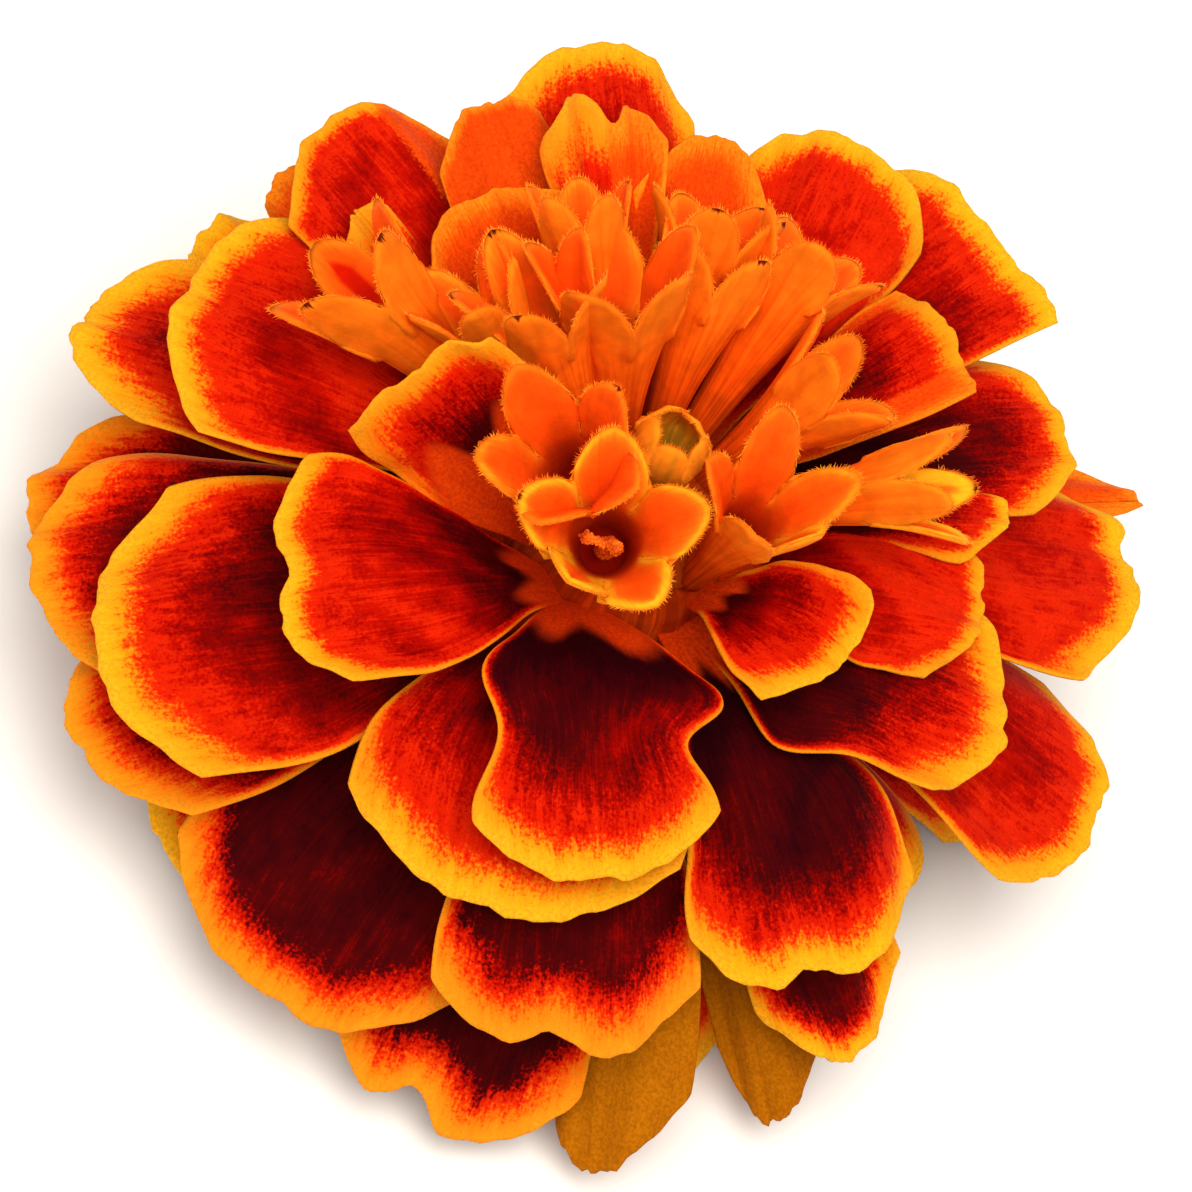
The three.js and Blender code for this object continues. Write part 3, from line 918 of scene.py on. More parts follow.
@dataclass(frozen=True)
class Petal:
    """One ray petal, which grows from the core, arches and spreads.

    Attributes:
        ring: The ring that it grows from.
        turn: Direction of its tip.
        arch: Control point of its arch, as distance out and height.
        tip: Its tip, as distance out and height.
        ccw: Half widths at the stations after the claw, on the side that lies further round.
        cw: The same on the other side.
        sweep: How far the tip lies round from the foot, in degrees.
        cup: How far the sides rise above the middle.
        roll: How far it turns about its own line, in degrees.
        ruffle: Height of the waves along its sides.
        round: How far its corners draw back.
        notch: Depth of the notch in its end.
        at: Where the notch lies across.
        waves: How many waves run across.
        phase: Where the waves start.
        coat: How its upper side is coloured.
        gilt: Widths of the gold margin on the ccw side, at the end and on the cw side.
        gold: How yellow that margin is, from 0 for orange to 1.
        claw: Share of the length that the orange foot takes.
        tone: How deep the red is, from 0 to 1.
        fade: How far in the red is at its deepest, in widths of the margin.
        stripe: Where a stripe lies across, from and to.
    """

    ring: Ring
    turn: float
    arch: tuple[float, float]
    tip: tuple[float, float]
    ccw: tuple[float, ...]
    cw: tuple[float, ...]
    sweep: float = 0.0
    cup: float = -0.8
    roll: float = 0.0
    ruffle: float = 0.8
    round: float = 0.15
    notch: float = 0.0
    at: float = 0.0
    waves: float = 1.5
    phase: float = 0.0
    coat: Coat = Coat.RED
    gilt: tuple[float, float, float] = (0.8, 1.9, 0.8)
    gold: float = 0.8
    claw: float = 0.17
    tone: float = 0.6
    fade: float = 3.4
    stripe: tuple[float, float] = (-1.0, 1.0)

    def half_width(self, widths: tuple[float, ...], s: Array) -> Array:
        """A smooth curve through the half widths at the stations.

        Args:
            widths: The half widths after the claw.
            s: Shares of the petal's length.

        Returns:
            The half widths there.
        """
        w = np.array([CLAW_HALF, *widths])
        at = np.array(STATIONS)
        low = np.maximum(np.arange(len(w)) - 1, 0)
        high = np.minimum(np.arange(len(w)) + 1, len(w) - 1)
        slope = (w[high] - w[low]) / (at[high] - at[low])
        k = np.clip(np.searchsorted(at, s, side="left") - 1, 0, len(w) - 2)
        step = at[k + 1] - at[k]
        t = (s - at[k]) / step
        start = (1 + 2 * t) * (1 - t) ** 2 * w[k] + t * (1 - t) ** 2 * step * slope[k]
        return start + t * t * (3 - 2 * t) * w[k + 1] + t * t * (t - 1) * step * slope[k + 1]

    def surface(self, u: Array, v: Array, seed: int) -> tuple[Array, Array]:
        """Points of the petal's middle surface.

        Args:
            u: From claw to end, 0 to 1.
            v: From the cw to the ccw margin, -1 to 1.
            seed: Sets its fine waves.

        Returns:
            The points, and the share of the length at each.
        """
        notch = self.notch * bell(v, self.at, NOTCH_WIDTH)
        corners = self.round * np.abs(v) ** CORNER_POWER
        s = u * (1.0 - corners - notch) + SCALLOPS.at(v, seed) * u**5 - END_BACK * u**5
        foot = polar(self.ring.value[0], self.turn - self.sweep, self.ring.value[1])
        arch = polar(self.arch[0], self.turn - self.sweep / 2.0, self.arch[1])
        tip = polar(self.tip[0], self.turn, self.tip[1])
        t = s[..., None]
        centre = (1 - t) ** 2 * foot + 2 * (1 - t) * t * arch + t * t * tip
        along = unit((1 - t) * (arch - foot) + t * (tip - arch))
        level = polar(1.0, self.turn + 90.0, 0.0)
        across = unit(level - along * (along @ level)[..., None])
        lift = np.cross(along, across)
        roll = (math.radians(self.roll) * smooth(s * 1.6))[..., None]
        sideways = across * np.cos(roll) + lift * np.sin(roll)
        upwards = lift * np.cos(roll) - across * np.sin(roll)
        half = np.where(v > 0, self.half_width(self.ccw, s), self.half_width(self.cw, s))
        half = half * (1.0 + NIBBLES.at(s + v, seed) * smooth(s * 3.0))
        return centre + sideways * (v * half)[..., None] + upwards * self.rise(s, v, seed)[..., None], s

    def rise(self, s: Array, v: Array, seed: int) -> Array:
        """How far the surface stands above its own line: cup, ruffle, fine frill and lengthwise pleats.

        Args:
            s: The share of the length at each point.
            v: Where each point lies across.
            seed: Sets its fine waves.

        Returns:
            The heights.
        """
        side = np.abs(v)
        cup = self.cup * v * v * smooth(s * 2.0)
        wave = self.ruffle * s**1.5 * side**0.7 * np.sin(math.pi * (self.waves * v + self.phase))
        frill = FRILL.at(v, seed) * s**3 + SIDE_FRILL.at(s, seed) * side**3 * smooth(s * 2.5)
        swell = SWELL.at(v * 2.0 + s * 3.0, seed) * smooth(s * 2.0)
        pleats = PLEAT_DEPTH * sum(bell(v, at, PLEAT_WIDTH) for at in PLEATS)
        return cup + wave + frill + swell - pleats * smooth(s * 3.0) * (1.0 - 0.5 * s)

    def colour_values(self, points: Array, s: Array, v: Array) -> dict[str, Array]:
        """Works out what the finish reads: margin, depth of tone, claw and plain parts.

        Args:
            points: The middle surface.
            s: The share of the length at each point.
            v: Where each point lies across.

        Returns:
            The values, in the shape of s.
        """
        ccw_gilt, end_gilt, cw_gilt = self.gilt
        grow = 0.32 + 0.68 * ease(s, 0.4, 0.95)  # The margin is narrower at the sides of the foot
        lines = (
            (points[-1], 0.8 * end_gilt),
            (points[:, -1], 0.6 * ccw_gilt * grow),
            (points[:, 0], 0.6 * cw_gilt * grow),
        )
        shares = (np.maximum(nearest(points, refined(line)) / width, 0.02) for line, width in lines)
        band = sum(share**-3.0 for share in shares) ** (-1.0 / 3.0)
        tongues = self.claw * (1.0 + 0.55 * bell(np.abs(v), 0.45, 0.32))
        blotches = BLOTCHES.at(v * 2.0 + s * 5.0, int(self.turn * 3)) * bell(s, 0.5, 0.4)
        # Besides the petal's own maroon, the second term deepens the red near the foot as painted shade where
        # it lies under the petals above
        tone = self.tone * (1.1 - 0.45 * s) + 0.4 * (1.0 - ease(s, 0.15, 0.55)) + blotches
        plain = np.full(s.shape, float(self.coat is Coat.PLAIN))
        if self.coat is Coat.STRIPED:
            low, high = self.stripe
            left = ease(v, low - STRIPE_EDGE, low + STRIPE_EDGE)
            plain = 1.0 - left * (1.0 - ease(v, high - STRIPE_EDGE, high + STRIPE_EDGE))
        return {
            "band": band,
            "tone": np.clip(tone, 0.0, 1.0),
            "fade": np.full(s.shape, self.fade),
            "claw": 1.0 - ease(s, tongues - CLAW_EDGE, tongues + CLAW_EDGE),
            "plain": plain,
            "gold": self.gold * (0.2 + 0.8 * ease(s, 0.68, 0.97)),
            "under": np.full(s.shape, float(self.coat is Coat.BACK)),
        }


@dataclass(frozen=True)
class PetalMaker:
    """Builds petals as thin closed blades.

    Attributes:
        rows: Points along a petal.
        columns: Points across a petal.
        thickness: At the middle of a petal.
        rim: How far in from the margin the blade reaches its full thickness.
        crowding: How much closer together points are at the end and at the sides, from 0 to 1.
        last: Where the last points before the end and before a side lie.
        pattern: Half width of a petal in the pattern of streaks, and what lies between two petals there.
    """

    rows: int = 55
    columns: int = 45
    thickness: float = 0.24
    rim: float = 0.16
    crowding: tuple[float, float] = (0.45, 0.4)
    last: tuple[float, float] = (0.9965, 0.988)
    pattern: tuple[float, float] = (6.0, 31.7)

    def grid(self) -> tuple[Array, Array]:
        """Spaces the points of a petal, closer together towards the end and the sides.

        Returns:
            Where each point lies along, from 0 to 1, and across, from -1 to 1.
        """
        even = np.linspace(0.0, 1.0, self.rows - 1), np.linspace(-1.0, 1.0, self.columns - 2)
        along, across = (
            (1.0 - share) * t + share * np.sin(t * math.pi / 2.0) for t, share in zip(even, self.crowding)
        )
        end, side = self.last
        along = np.concatenate([along[:-1], [end, 1.0]])
        across = np.concatenate([[-1.0, -side], across[1:-1], [side, 1.0]])
        return np.meshgrid(along, across, indexing="ij")

    def skin(self, petal: Petal, number: int) -> Skin:
        """Builds one petal.

        Args:
            petal: Its sizes.
            number: Its place in the bloom, which seeds its fine waves.

        Returns:
            Its closed skin.
        """
        u, v = self.grid()
        points, s = petal.surface(u, v, seed=number * 11 + 5)
        normal = unit(np.cross(np.gradient(points, axis=0), np.gradient(points, axis=1)))
        edges = [refined(points[-1]), refined(points[:, 0]), refined(points[:, -1]), points[0]]
        half = rounded_half(nearest(points, np.concatenate(edges)), self.rim, self.thickness)
        half[0, :] = half[-1, :] = half[:, 0] = half[:, -1] = 0.0
        steps = np.linalg.norm(np.diff(points, axis=0), axis=-1)
        along = np.cumsum(np.concatenate([np.zeros((1, self.columns)), steps]), axis=0)
        grain = np.stack([v * self.pattern[0] + number * self.pattern[1], along], axis=-1)
        values = petal.colour_values(points, s, v)
        made = Skin.blade(points, normal * half[..., None], grain, values, {"under": np.ones(s.shape)})
        made.points[:, 2] = np.maximum(made.points[:, 2], 0.0)
        return made


TOP_LAYER = (
    Petal(Ring.UPPER, turn=291, sweep=26, arch=(12.5, 23.6), tip=(20.6, 17.5), ccw=(5, 7, 4.9, 6.2, 5.8),
          cw=(3, 5, 4.4, 5.8, 5.4), ruffle=0.4, waves=1.5, phase=0.5, gilt=(1, 2, 0.9), tone=0.72),
    Petal(Ring.UPPER, turn=230, sweep=-24, arch=(11, 22.4), tip=(20.2, 19), ccw=(1.8, 3.4, 4.8, 5, 4.6),
          cw=(2.2, 4, 5.9, 7.1, 6.4), notch=0.05, at=-0.2, gilt=(0.9, 1.4, 0.9), tone=0.35),
    Petal(Ring.CROWN, turn=200, sweep=-18, arch=(7.6, 21.6), tip=(13.4, 25.4), ccw=(2, 3.2, 4.2, 4.8, 4.4),
          cw=(2, 3, 4, 4.2, 3.8), round=0.06, cup=-0.2, roll=-66, ruffle=0.4, gilt=(3, 1.5, 1.8), gold=0.3,
          claw=0.44, tone=0.85),
    Petal(Ring.CROWN, turn=345, arch=(8.2, 20.6), tip=(12.8, 20), ccw=(1.6, 2.4, 3, 3.4, 3),
          cw=(2, 3.4, 4.6, 4.8, 4.2), cup=1, gilt=(1.6, 1.5, 1.2), tone=0.4),
    Petal(Ring.UPPER, turn=17, sweep=6, arch=(10, 21.2), tip=(18.1, 18), ccw=(2, 3.4, 4.4, 4.4, 3.4),
          cw=(2.4, 4, 4.8, 4.6, 4), gilt=(1.6, 1.2, 0.7), gold=0.5, tone=0.12),
    Petal(Ring.UPPER, turn=31, arch=(10, 21.8), tip=(18.7, 20), ccw=(0.9, 1.2, 1.5, 1.8, 1.6),
          cw=(1, 1.4, 1.8, 2.6, 2.4), gilt=(0.7, 1, 1.1), tone=0.6),
    Petal(Ring.CROWN, turn=60, arch=(10, 21.4), tip=(17.8, 23), ccw=(1.2, 2, 2.8, 3.4, 3.4),
          cw=(1.2, 2, 2.8, 3.4, 3.6), round=0.04, coat=Coat.STRIPED, stripe=(-0.5, 0.75),
          gilt=(0.8, 1.6, 1.6), gold=0.3, claw=0.3, tone=0.5),
    Petal(Ring.CROWN, turn=154, arch=(9.6, 20.2), tip=(16.4, 23.4), ccw=(1.2, 2, 3.2, 4.4, 4),
          cw=(1.4, 2.6, 4, 4.8, 4.6), cup=0.8, coat=Coat.PLAIN),
    Petal(Ring.UPPER, turn=127, arch=(10, 22.6), tip=(20.4, 24), ccw=(1, 1.6, 2.3, 3.2, 3),
          cw=(1, 1.6, 2.2, 3, 3.4), notch=0.08, at=-0.2, cup=0.6, coat=Coat.STRIPED, stripe=(-0.1, 0.9),
          gilt=(0.7, 2.6, 0.9), gold=0.25, tone=0.4),
    Petal(Ring.UPPER, turn=140, arch=(11, 21.2), tip=(21.8, 22), ccw=(1.2, 2.4, 3.4, 3.8, 3.4),
          cw=(1.2, 2.2, 2.8, 3.2, 3.2), coat=Coat.PLAIN, gilt=(0.5, 0.8, 0.5)),
    Petal(Ring.UPPER, turn=167, arch=(11.6, 19.4), tip=(19.8, 21.6), ccw=(0.9, 1.5, 2, 2.4, 2.2),
          cw=(0.9, 1.5, 2, 2.4, 2.2), roll=15, gold=0.3, tone=0.85),
)

SECOND_LAYER = (
    Petal(Ring.MIDDLE, turn=280, sweep=14, arch=(12.5, 20.4), tip=(22.2, 14.5), ccw=(4, 6, 8, 8, 7.6),
          cw=(3.2, 5.5, 7.7, 8.2, 7.4), round=0.2, gilt=(1.4, 2.3, 1.6), tone=0.4),
    Petal(Ring.MIDDLE, turn=222, sweep=-20, arch=(14, 18.2), tip=(26.8, 12), ccw=(2.6, 5.4, 7.9, 8.2, 7.4),
          cw=(2.6, 5.6, 7.2, 7.2, 6.2), gilt=(1, 2.3, 1.4), tone=0.6),
    Petal(Ring.MIDDLE, turn=3, sweep=22, arch=(12, 19.4), tip=(21.4, 15.6), ccw=(2, 3.2, 4.5, 5.6, 5.6),
          cw=(3.2, 5.8, 4.8, 5, 4), gilt=(1, 2.2, 0.8), tone=0.7),
    Petal(Ring.MIDDLE, turn=322, sweep=-6, arch=(13, 18.2), tip=(24.3, 12), ccw=(1.5, 3.5, 6.4, 7.2, 6.8),
          cw=(1.5, 2.8, 4.3, 5.8, 5.6), notch=0.03, at=-0.1, gilt=(1, 2, 0.8), gold=0.9, tone=0.9),
    Petal(Ring.MIDDLE, turn=47, sweep=-6, arch=(13, 19.8), tip=(25, 16.6), ccw=(1.8, 2.8, 3.6, 4.8, 4.6),
          cw=(1.5, 2.6, 3.6, 4.4, 4.2), gilt=(1.4, 1.5, 0.9), tone=0.7),
    Petal(Ring.MIDDLE, turn=184, arch=(12, 20.8), tip=(24.8, 18), ccw=(2, 4, 6, 7.2, 6.8),
          cw=(3, 5, 6, 6.6, 6), gilt=(0.8, 1.7, 1.6), tone=0.24),
    Petal(Ring.MIDDLE, turn=90, sweep=8, arch=(12, 21.6), tip=(23.5, 22), ccw=(1.2, 2.2, 3.4, 4.2, 4.2),
          cw=(1.4, 2.8, 4.4, 5.6, 5.6), gilt=(0.7, 1.7, 1.4), gold=0.9, tone=0.1),
    Petal(Ring.MIDDLE, turn=122, arch=(12, 22), tip=(24.8, 22), ccw=(1.2, 2.4, 3.8, 5.6, 5.6),
          cw=(1.2, 2.4, 3.4, 4.4, 4.4), gilt=(1, 2, 1.4), tone=0.4),
    Petal(Ring.MIDDLE, turn=156, arch=(12, 21.4), tip=(25, 20), ccw=(1.6, 2.8, 4.4, 5.8, 5.8),
          cw=(1.4, 2.4, 3.4, 4.4, 4.6), coat=Coat.STRIPED, stripe=(-0.35, 1.3), gilt=(0.6, 1, 0.8),
          gold=0.4, tone=0.3),
)

# On the low petals from turn 200 round to 330, here and in the hem, the orange margins, deep red and short
# fade are partly their own colour and partly painted shade under the bloom
THIRD_LAYER = (
    Petal(Ring.LOWER, turn=34, arch=(15, 17.6), tip=(28.6, 12), ccw=(2, 3.4, 4.4, 5.2, 5.2),
          cw=(2, 3.8, 5.6, 6.8, 5.8), gilt=(1, 2.2, 0.6), gold=1, tone=0.18),
    Petal(Ring.LOWER, turn=70, arch=(13.4, 20.6), tip=(25.9, 20), ccw=(1.5, 3, 4.4, 5.8, 6.6),
          cw=(1.5, 2.8, 3.8, 4.8, 5.8), round=0.03, gilt=(1, 2, 0.6), gold=1, tone=0.4),
    Petal(Ring.LOWER, turn=186, arch=(14, 18), tip=(29, 12), ccw=(1.5, 3.2, 4.6, 4.6, 4.2),
          cw=(1.5, 3.2, 4.6, 5.8, 5.4), gilt=(0.6, 2.2, 1.2), tone=0.7),
    Petal(Ring.LOWER, turn=211, arch=(15, 15.2), tip=(28.6, 9), ccw=(2, 4.5, 6.6, 7.2, 7),
          cw=(2, 3.6, 4.8, 5.6, 5.2), gilt=(1, 2, 1.6), gold=0.15, tone=0.7, fade=2.4),
    Petal(Ring.LOWER, turn=229, arch=(15, 14.2), tip=(28, 7.6), ccw=(2, 4, 6, 6.4, 5.6),
          cw=(2, 3.6, 4.8, 5, 4.8), gold=0.15, tone=0.7, fade=2.3),
    Petal(Ring.LOWER, turn=264, sweep=8, arch=(16, 15), tip=(27, 4.8), ccw=(2, 4.4, 6.8, 7, 6.6),
          cw=(2, 4.8, 7.2, 8.6, 8.4), gilt=(1, 2, 1.1), gold=0.05, tone=0.88, fade=1.9),
    Petal(Ring.LOWER, turn=295, sweep=12, arch=(16, 16.6), tip=(26, 9.5), ccw=(2, 3.6, 5.4, 5.8, 5.6),
          cw=(2, 4.2, 6.2, 7.3, 7), notch=0.05, at=-0.2, gilt=(1, 2.3, 1), gold=0.05, tone=0.86, fade=1.9),
    Petal(Ring.LOWER, turn=8, arch=(14, 15.8), tip=(28.6, 8.6), ccw=(2, 3.4, 4.6, 5.6, 5.6),
          cw=(2, 3.2, 4.8, 6.8, 6.6), gilt=(0.8, 1.8, 0.8), gold=0.85, tone=0.24),
    Petal(Ring.LOWER, turn=164, arch=(14, 17.6), tip=(25, 16.4), ccw=(1.5, 2.4, 3.2, 3.4, 3.2),
          cw=(1.5, 2.4, 3.2, 3.2, 3), roll=-60, coat=Coat.PLAIN),
)

# The low petals here from turn 200 round to 330 are partly their own colour and partly painted shade: orange
# margins, deep red, short fade
HEM = (
    Petal(Ring.HEM, turn=200, arch=(15, 12.8), tip=(28.4, 6), ccw=(2, 3, 4, 5, 5), cw=(2, 3, 3.8, 4.8, 4.6),
          gold=0.1, tone=0.8, fade=2.2),
    Petal(Ring.HEM, turn=284, arch=(17, 11.8), tip=(28.2, 2), ccw=(2, 4, 5.2, 6, 6.4),
          cw=(2, 4, 5.6, 6.6, 6.6), notch=0.07, at=-0.25, gilt=(1, 2, 1), gold=0.05, tone=1, fade=1.8),
    Petal(Ring.HEM, turn=300, arch=(16, 11), tip=(28.6, 2.2), ccw=(2, 3.2, 4.2, 4.4, 3.4),
          cw=(2, 3, 3.4, 3.2, 2.8), roll=40, coat=Coat.BACK),
    Petal(Ring.HEM, turn=327, arch=(15, 12.8), tip=(27, 7), ccw=(2, 3, 3.8, 4.8, 4.4),
          cw=(2, 2.6, 3, 3.2, 3), gilt=(0.8, 1.2, 0.8), tone=0.8, fade=2.2),
    Petal(Ring.HEM, turn=320, arch=(15, 9.6), tip=(27.4, 2.6), ccw=(1.6, 2.2, 3, 3.4, 3),
          cw=(1.2, 1.6, 1.8, 1.8, 1.6), roll=30, coat=Coat.BACK),
    Petal(Ring.HEM, turn=43, arch=(15, 14.6), tip=(31, 10.8), ccw=(2, 3, 4, 4.6, 2.6),
          cw=(2, 2.4, 2.2, 1.6, 1), round=0.4, coat=Coat.PLAIN),
    Petal(Ring.HEM, turn=168, arch=(14, 13.8), tip=(26.6, 12.4), ccw=(1.5, 2.6, 3.8, 4.4, 4.2),
          cw=(1.5, 2.6, 3.4, 3.8, 3.6)),
)

BEHIND_FLORETS = (
    Petal(Ring.CROWN, turn=108, arch=(10.5, 19.6), tip=(18.8, 24), ccw=(1.2, 2.4, 3.6, 3.8, 2.8),
          cw=(1.2, 2.4, 3.6, 3.8, 2.8), round=0.25, cup=0.6, coat=Coat.PLAIN),
)

# Turn, height of the tip and reach of the petals under the others
HIDDEN = (
    (20, -0.2, 26.4), (42, 6, 27), (62, 3, 26.2), (82, 9.5, 26.6), (98, -0.2, 25.6), (112, 11, 26.4),
    (133, 4.4, 26), (150, 9, 26.6), (172, -0.2, 25.8), (214, -0.2, 23.6), (241, 3, 24.6), (262, -0.2, 24),
    (308, -0.2, 24), (344, 4.6, 22.4),
)

# What the finish reads on the receptacle and the mound: a floret's dark foot colour and some of its throat's,
# as painted shade
CORE_LOOK = {"margin": 1.0, "height": 0.1, "inside": 0.0, "throat": 0.3, "blush": 0.0, "speck": 0.0}


def hidden_petal(turn: float, height: float, reach: float) -> Petal:
    """A petal of the rule for the hidden ones."""
    ccw, cw = (1.8, 3.2, 4.6, 5.4, 5), (1.8, 3.4, 4.8, 5.2, 4.8)
    return Petal(Ring.HEM, turn, (14.5, 9.0 + height * 0.35), (reach, height), ccw, cw)


@dataclass
class RayPetals:
    """All the ray petals, one piece for each layer, and the receptacle that they grow from.

    Attributes:
        finish: The petals' material.
        flesh: The receptacle's material.
        fine: Makes the petals that show.
        coarse: Makes those under them.
        core: Radius and height of the receptacle, from foot to top.
        bulges: How many bulges it has round its side.
        bulge: Their height, as a share of its radius.
        node: The node that they stand for.
    """

    finish: Material
    flesh: Material
    fine: PetalMaker = PetalMaker()
    coarse: PetalMaker = PetalMaker(rows=36, columns=27)
    core: Outline = ((0, 11.9), (4.4, 11.9), (5.6, 13.1), (5.2, 15.7), (4.6, 16.9), (0, 16.9))
    bulges: int = 21
    bulge: float = 0.02
    node: str = "ray_petals"

    def layers(self) -> dict[str, tuple[Petal, ...]]:
        """Lists the petals of each piece.

        Returns:
            The petals, by the piece's name.
        """
        return {
            "petals_top_layer": TOP_LAYER,
            "petals_second_layer": SECOND_LAYER,
            "petals_third_layer": THIRD_LAYER,
            "petals_hem": HEM,
            "petal_behind_florets": BEHIND_FLORETS,
            "petals_underneath": tuple(hidden_petal(*row) for row in HIDDEN),
        }

    def waved(self, petal: Petal, number: int) -> Petal:
        """The petal with waves by its number, unless its sizes already say where they start."""
        own = {"phase": number * 0.37, "waves": 1.5 + 0.5 * (number % 3)}
        return replace(petal, **own) if petal.phase == 0.0 else petal

    def build(self) -> list[Object]:
        """Builds every layer and the receptacle.

        Returns:
            The pieces.
        """
        pieces = []
        number = 0
        for name, petals in self.layers().items():
            maker = self.coarse if name == "petals_underneath" else self.fine
            skins = [maker.skin(self.waved(petal, k), k) for k, petal in enumerate(petals, number)]
            number += len(petals)
            pieces.append(Skin.joined(skins).mesh_object(name, self.finish))
        pieces.append(self.receptacle())
        for piece in pieces:
            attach(piece, BODY)
            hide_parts(self.node)
        return pieces

    def receptacle(self) -> Object:
        """Builds the low dome that the petals grow from, with a rim that bulges between them.

        Returns:
            The piece.
        """

        def bulging(out: Array, up: Array, angle: Array) -> Array:
            """The radius with its low bulges."""
            return out * (1.0 + self.bulge * np.cos(self.bulges * angle))

        skin = Skin.turned(refined(np.array(self.core), parts=6), sides=72, shape=bulging)
        return skin.evenly(**CORE_LOOK, bud=0.0).mesh_object("receptacle", self.flesh)


# Disc florets

# Sizes of the mound, the share of its radius where the outermost florets grow, the lean in degrees of those
# florets, and how deep every floret is sunk in it
MOUND_RADIUS = 4.4
MOUND_RISE = 2.6
MOUND_FOOT = 17.2
MOUND_SHARE = 0.9
FULL_LEAN = 55.0
SUNK = 0.6

# A floret's lobes, the radius of its tube at the foot, and how far up the tube its throat starts
LOBES = 5
TUBE_FOOT = 0.6
THROAT = 0.55


@dataclass(frozen=True)
class Floret:
    """One disc floret: a narrow funnel that opens in a star of five lobes.

    Attributes:
        turn: Direction that it leans to.
        lean: How far it leans from upright, in degrees.
        tube: Length of the tube.
        mouth: Radius of the tube's mouth.
        lobe: Length of the lobes.
        flare: How far the lobes spread, in degrees.
        spin: Turn of the lobes round the tube.
        wide: How much wider the lobes are at their middle.
        droop: How much more the lobes on the low side spread.
        out: How far from the axis it grows, or None to go by its lean.
        blush: How much red it has inside, from 0 to 1.
        bud: How green it is, from 0 to 1.
        gilt: How golden the edges of its lobes are, from 0 to 1; those on the low side are more so.
        open: Whether its style shows in its mouth.
    """

    turn: float
    lean: float
    tube: float
    mouth: float
    lobe: float
    flare: float
    spin: float
    wide: float = 0.3
    droop: float = 0.0
    out: float | None = None
    blush: float = 0.0
    bud: float = 0.0
    gilt: float = 0.4
    open: bool = False

    def base(self) -> Array:
        """Works out where it grows from the mound.

        Returns:
            The point.
        """
        by_lean = min(self.lean / FULL_LEAN, 1.0) * MOUND_RADIUS * MOUND_SHARE
        out = by_lean if self.out is None else self.out
        up = MOUND_FOOT + MOUND_RISE * math.sqrt(1.0 - (out / MOUND_RADIUS) ** 2) - SUNK
        return polar(out, self.turn, up)

    def axes(self) -> tuple[Array, Array, Array]:
        """Works out how it stands.

        Returns:
            Its own axis, and two directions across it.
        """
        lean = math.radians(self.lean)
        axis = polar(math.sin(lean), self.turn, math.cos(lean))
        side = polar(1.0, self.turn + 90.0, 0.0)
        return axis, np.cross(side, axis), side

    def varied(self) -> tuple[Array, Array, Array]:
        """What makes its lobes differ: their length, their spread in degrees and how hollow they are."""
        rng = np.random.default_rng(int(self.turn * 7 + self.lean))
        return rng.uniform(0.9, 1.04, LOBES), rng.uniform(-5.0, 5.0, LOBES), rng.uniform(0.1, 0.34, LOBES)

    def middle(self, lobe: Array) -> Array:
        """The angle round the tube at which a lobe has its middle."""
        return 2.0 * (math.pi / LOBES) * (lobe + 0.5) + math.radians(self.spin)

    def surface(self, u: Array, lobe: Array, e: Array) -> Array:
        """Points of its middle surface.

        Args:
            u: Up the tube to 1 and along a lobe to 2.
            lobe: Which lobe, from 0 to 4.
            e: Across one lobe, from cleft to cleft, -1 to 1.

        Returns:
            The points.
        """
        axis, outward, side = self.axes()
        longer, flared, hollow = self.varied()
        middle = self.middle(lobe)
        tube = np.minimum(u, 1.0)
        k = np.maximum(u - 1.0, 0.0)

        # How far out and up a lobe reaches, with a hollow along it
        outline = 0.06 + 0.94 * np.sqrt(np.maximum(1.0 - np.abs(e) ** 2.0, 0.0))
        reach = k * outline * self.lobe * longer[lobe]
        spread = np.radians(self.flare + self.droop * np.cos(middle) + flared[lobe])
        flare = spread * (0.4 + 0.6 * reach / self.lobe)
        groove = hollow[lobe] * bell(e, 0.0, 0.5) + 0.1 * bell(e, 0.0, 0.14)
        groove = groove * np.sin(math.pi * np.minimum(k, 1.0) * 0.8)
        rise = self.tube * tube + reach * np.cos(flare)
        radius = TUBE_FOOT + (self.mouth - TUBE_FOOT) * tube**1.8 + reach * np.sin(flare) + groove

        # The round wall of the tube passes into the flat blades of the lobes
        sector = math.pi / LOBES
        widening = (self.wide + 0.3) * np.sin(math.pi * k * 0.68) * np.minimum(outline * 2.2, 1.0)
        across = e * sector * self.mouth * (1.0 + widening)
        blend = np.where(np.abs(e) > 0.999, 0.0, np.minimum(1.0, 4.0 * k)) * 0.8
        wall = middle + e * sector
        flat_x = radius * np.cos(middle) - across * np.sin(middle)
        flat_y = radius * np.sin(middle) + across * np.cos(middle)
        x = radius * np.cos(wall) * (1.0 - blend) + flat_x * blend
        y = radius * np.sin(wall) * (1.0 - blend) + flat_y * blend
        return self.base() + axis * rise[..., None] + outward * x[..., None] + side * y[..., None]


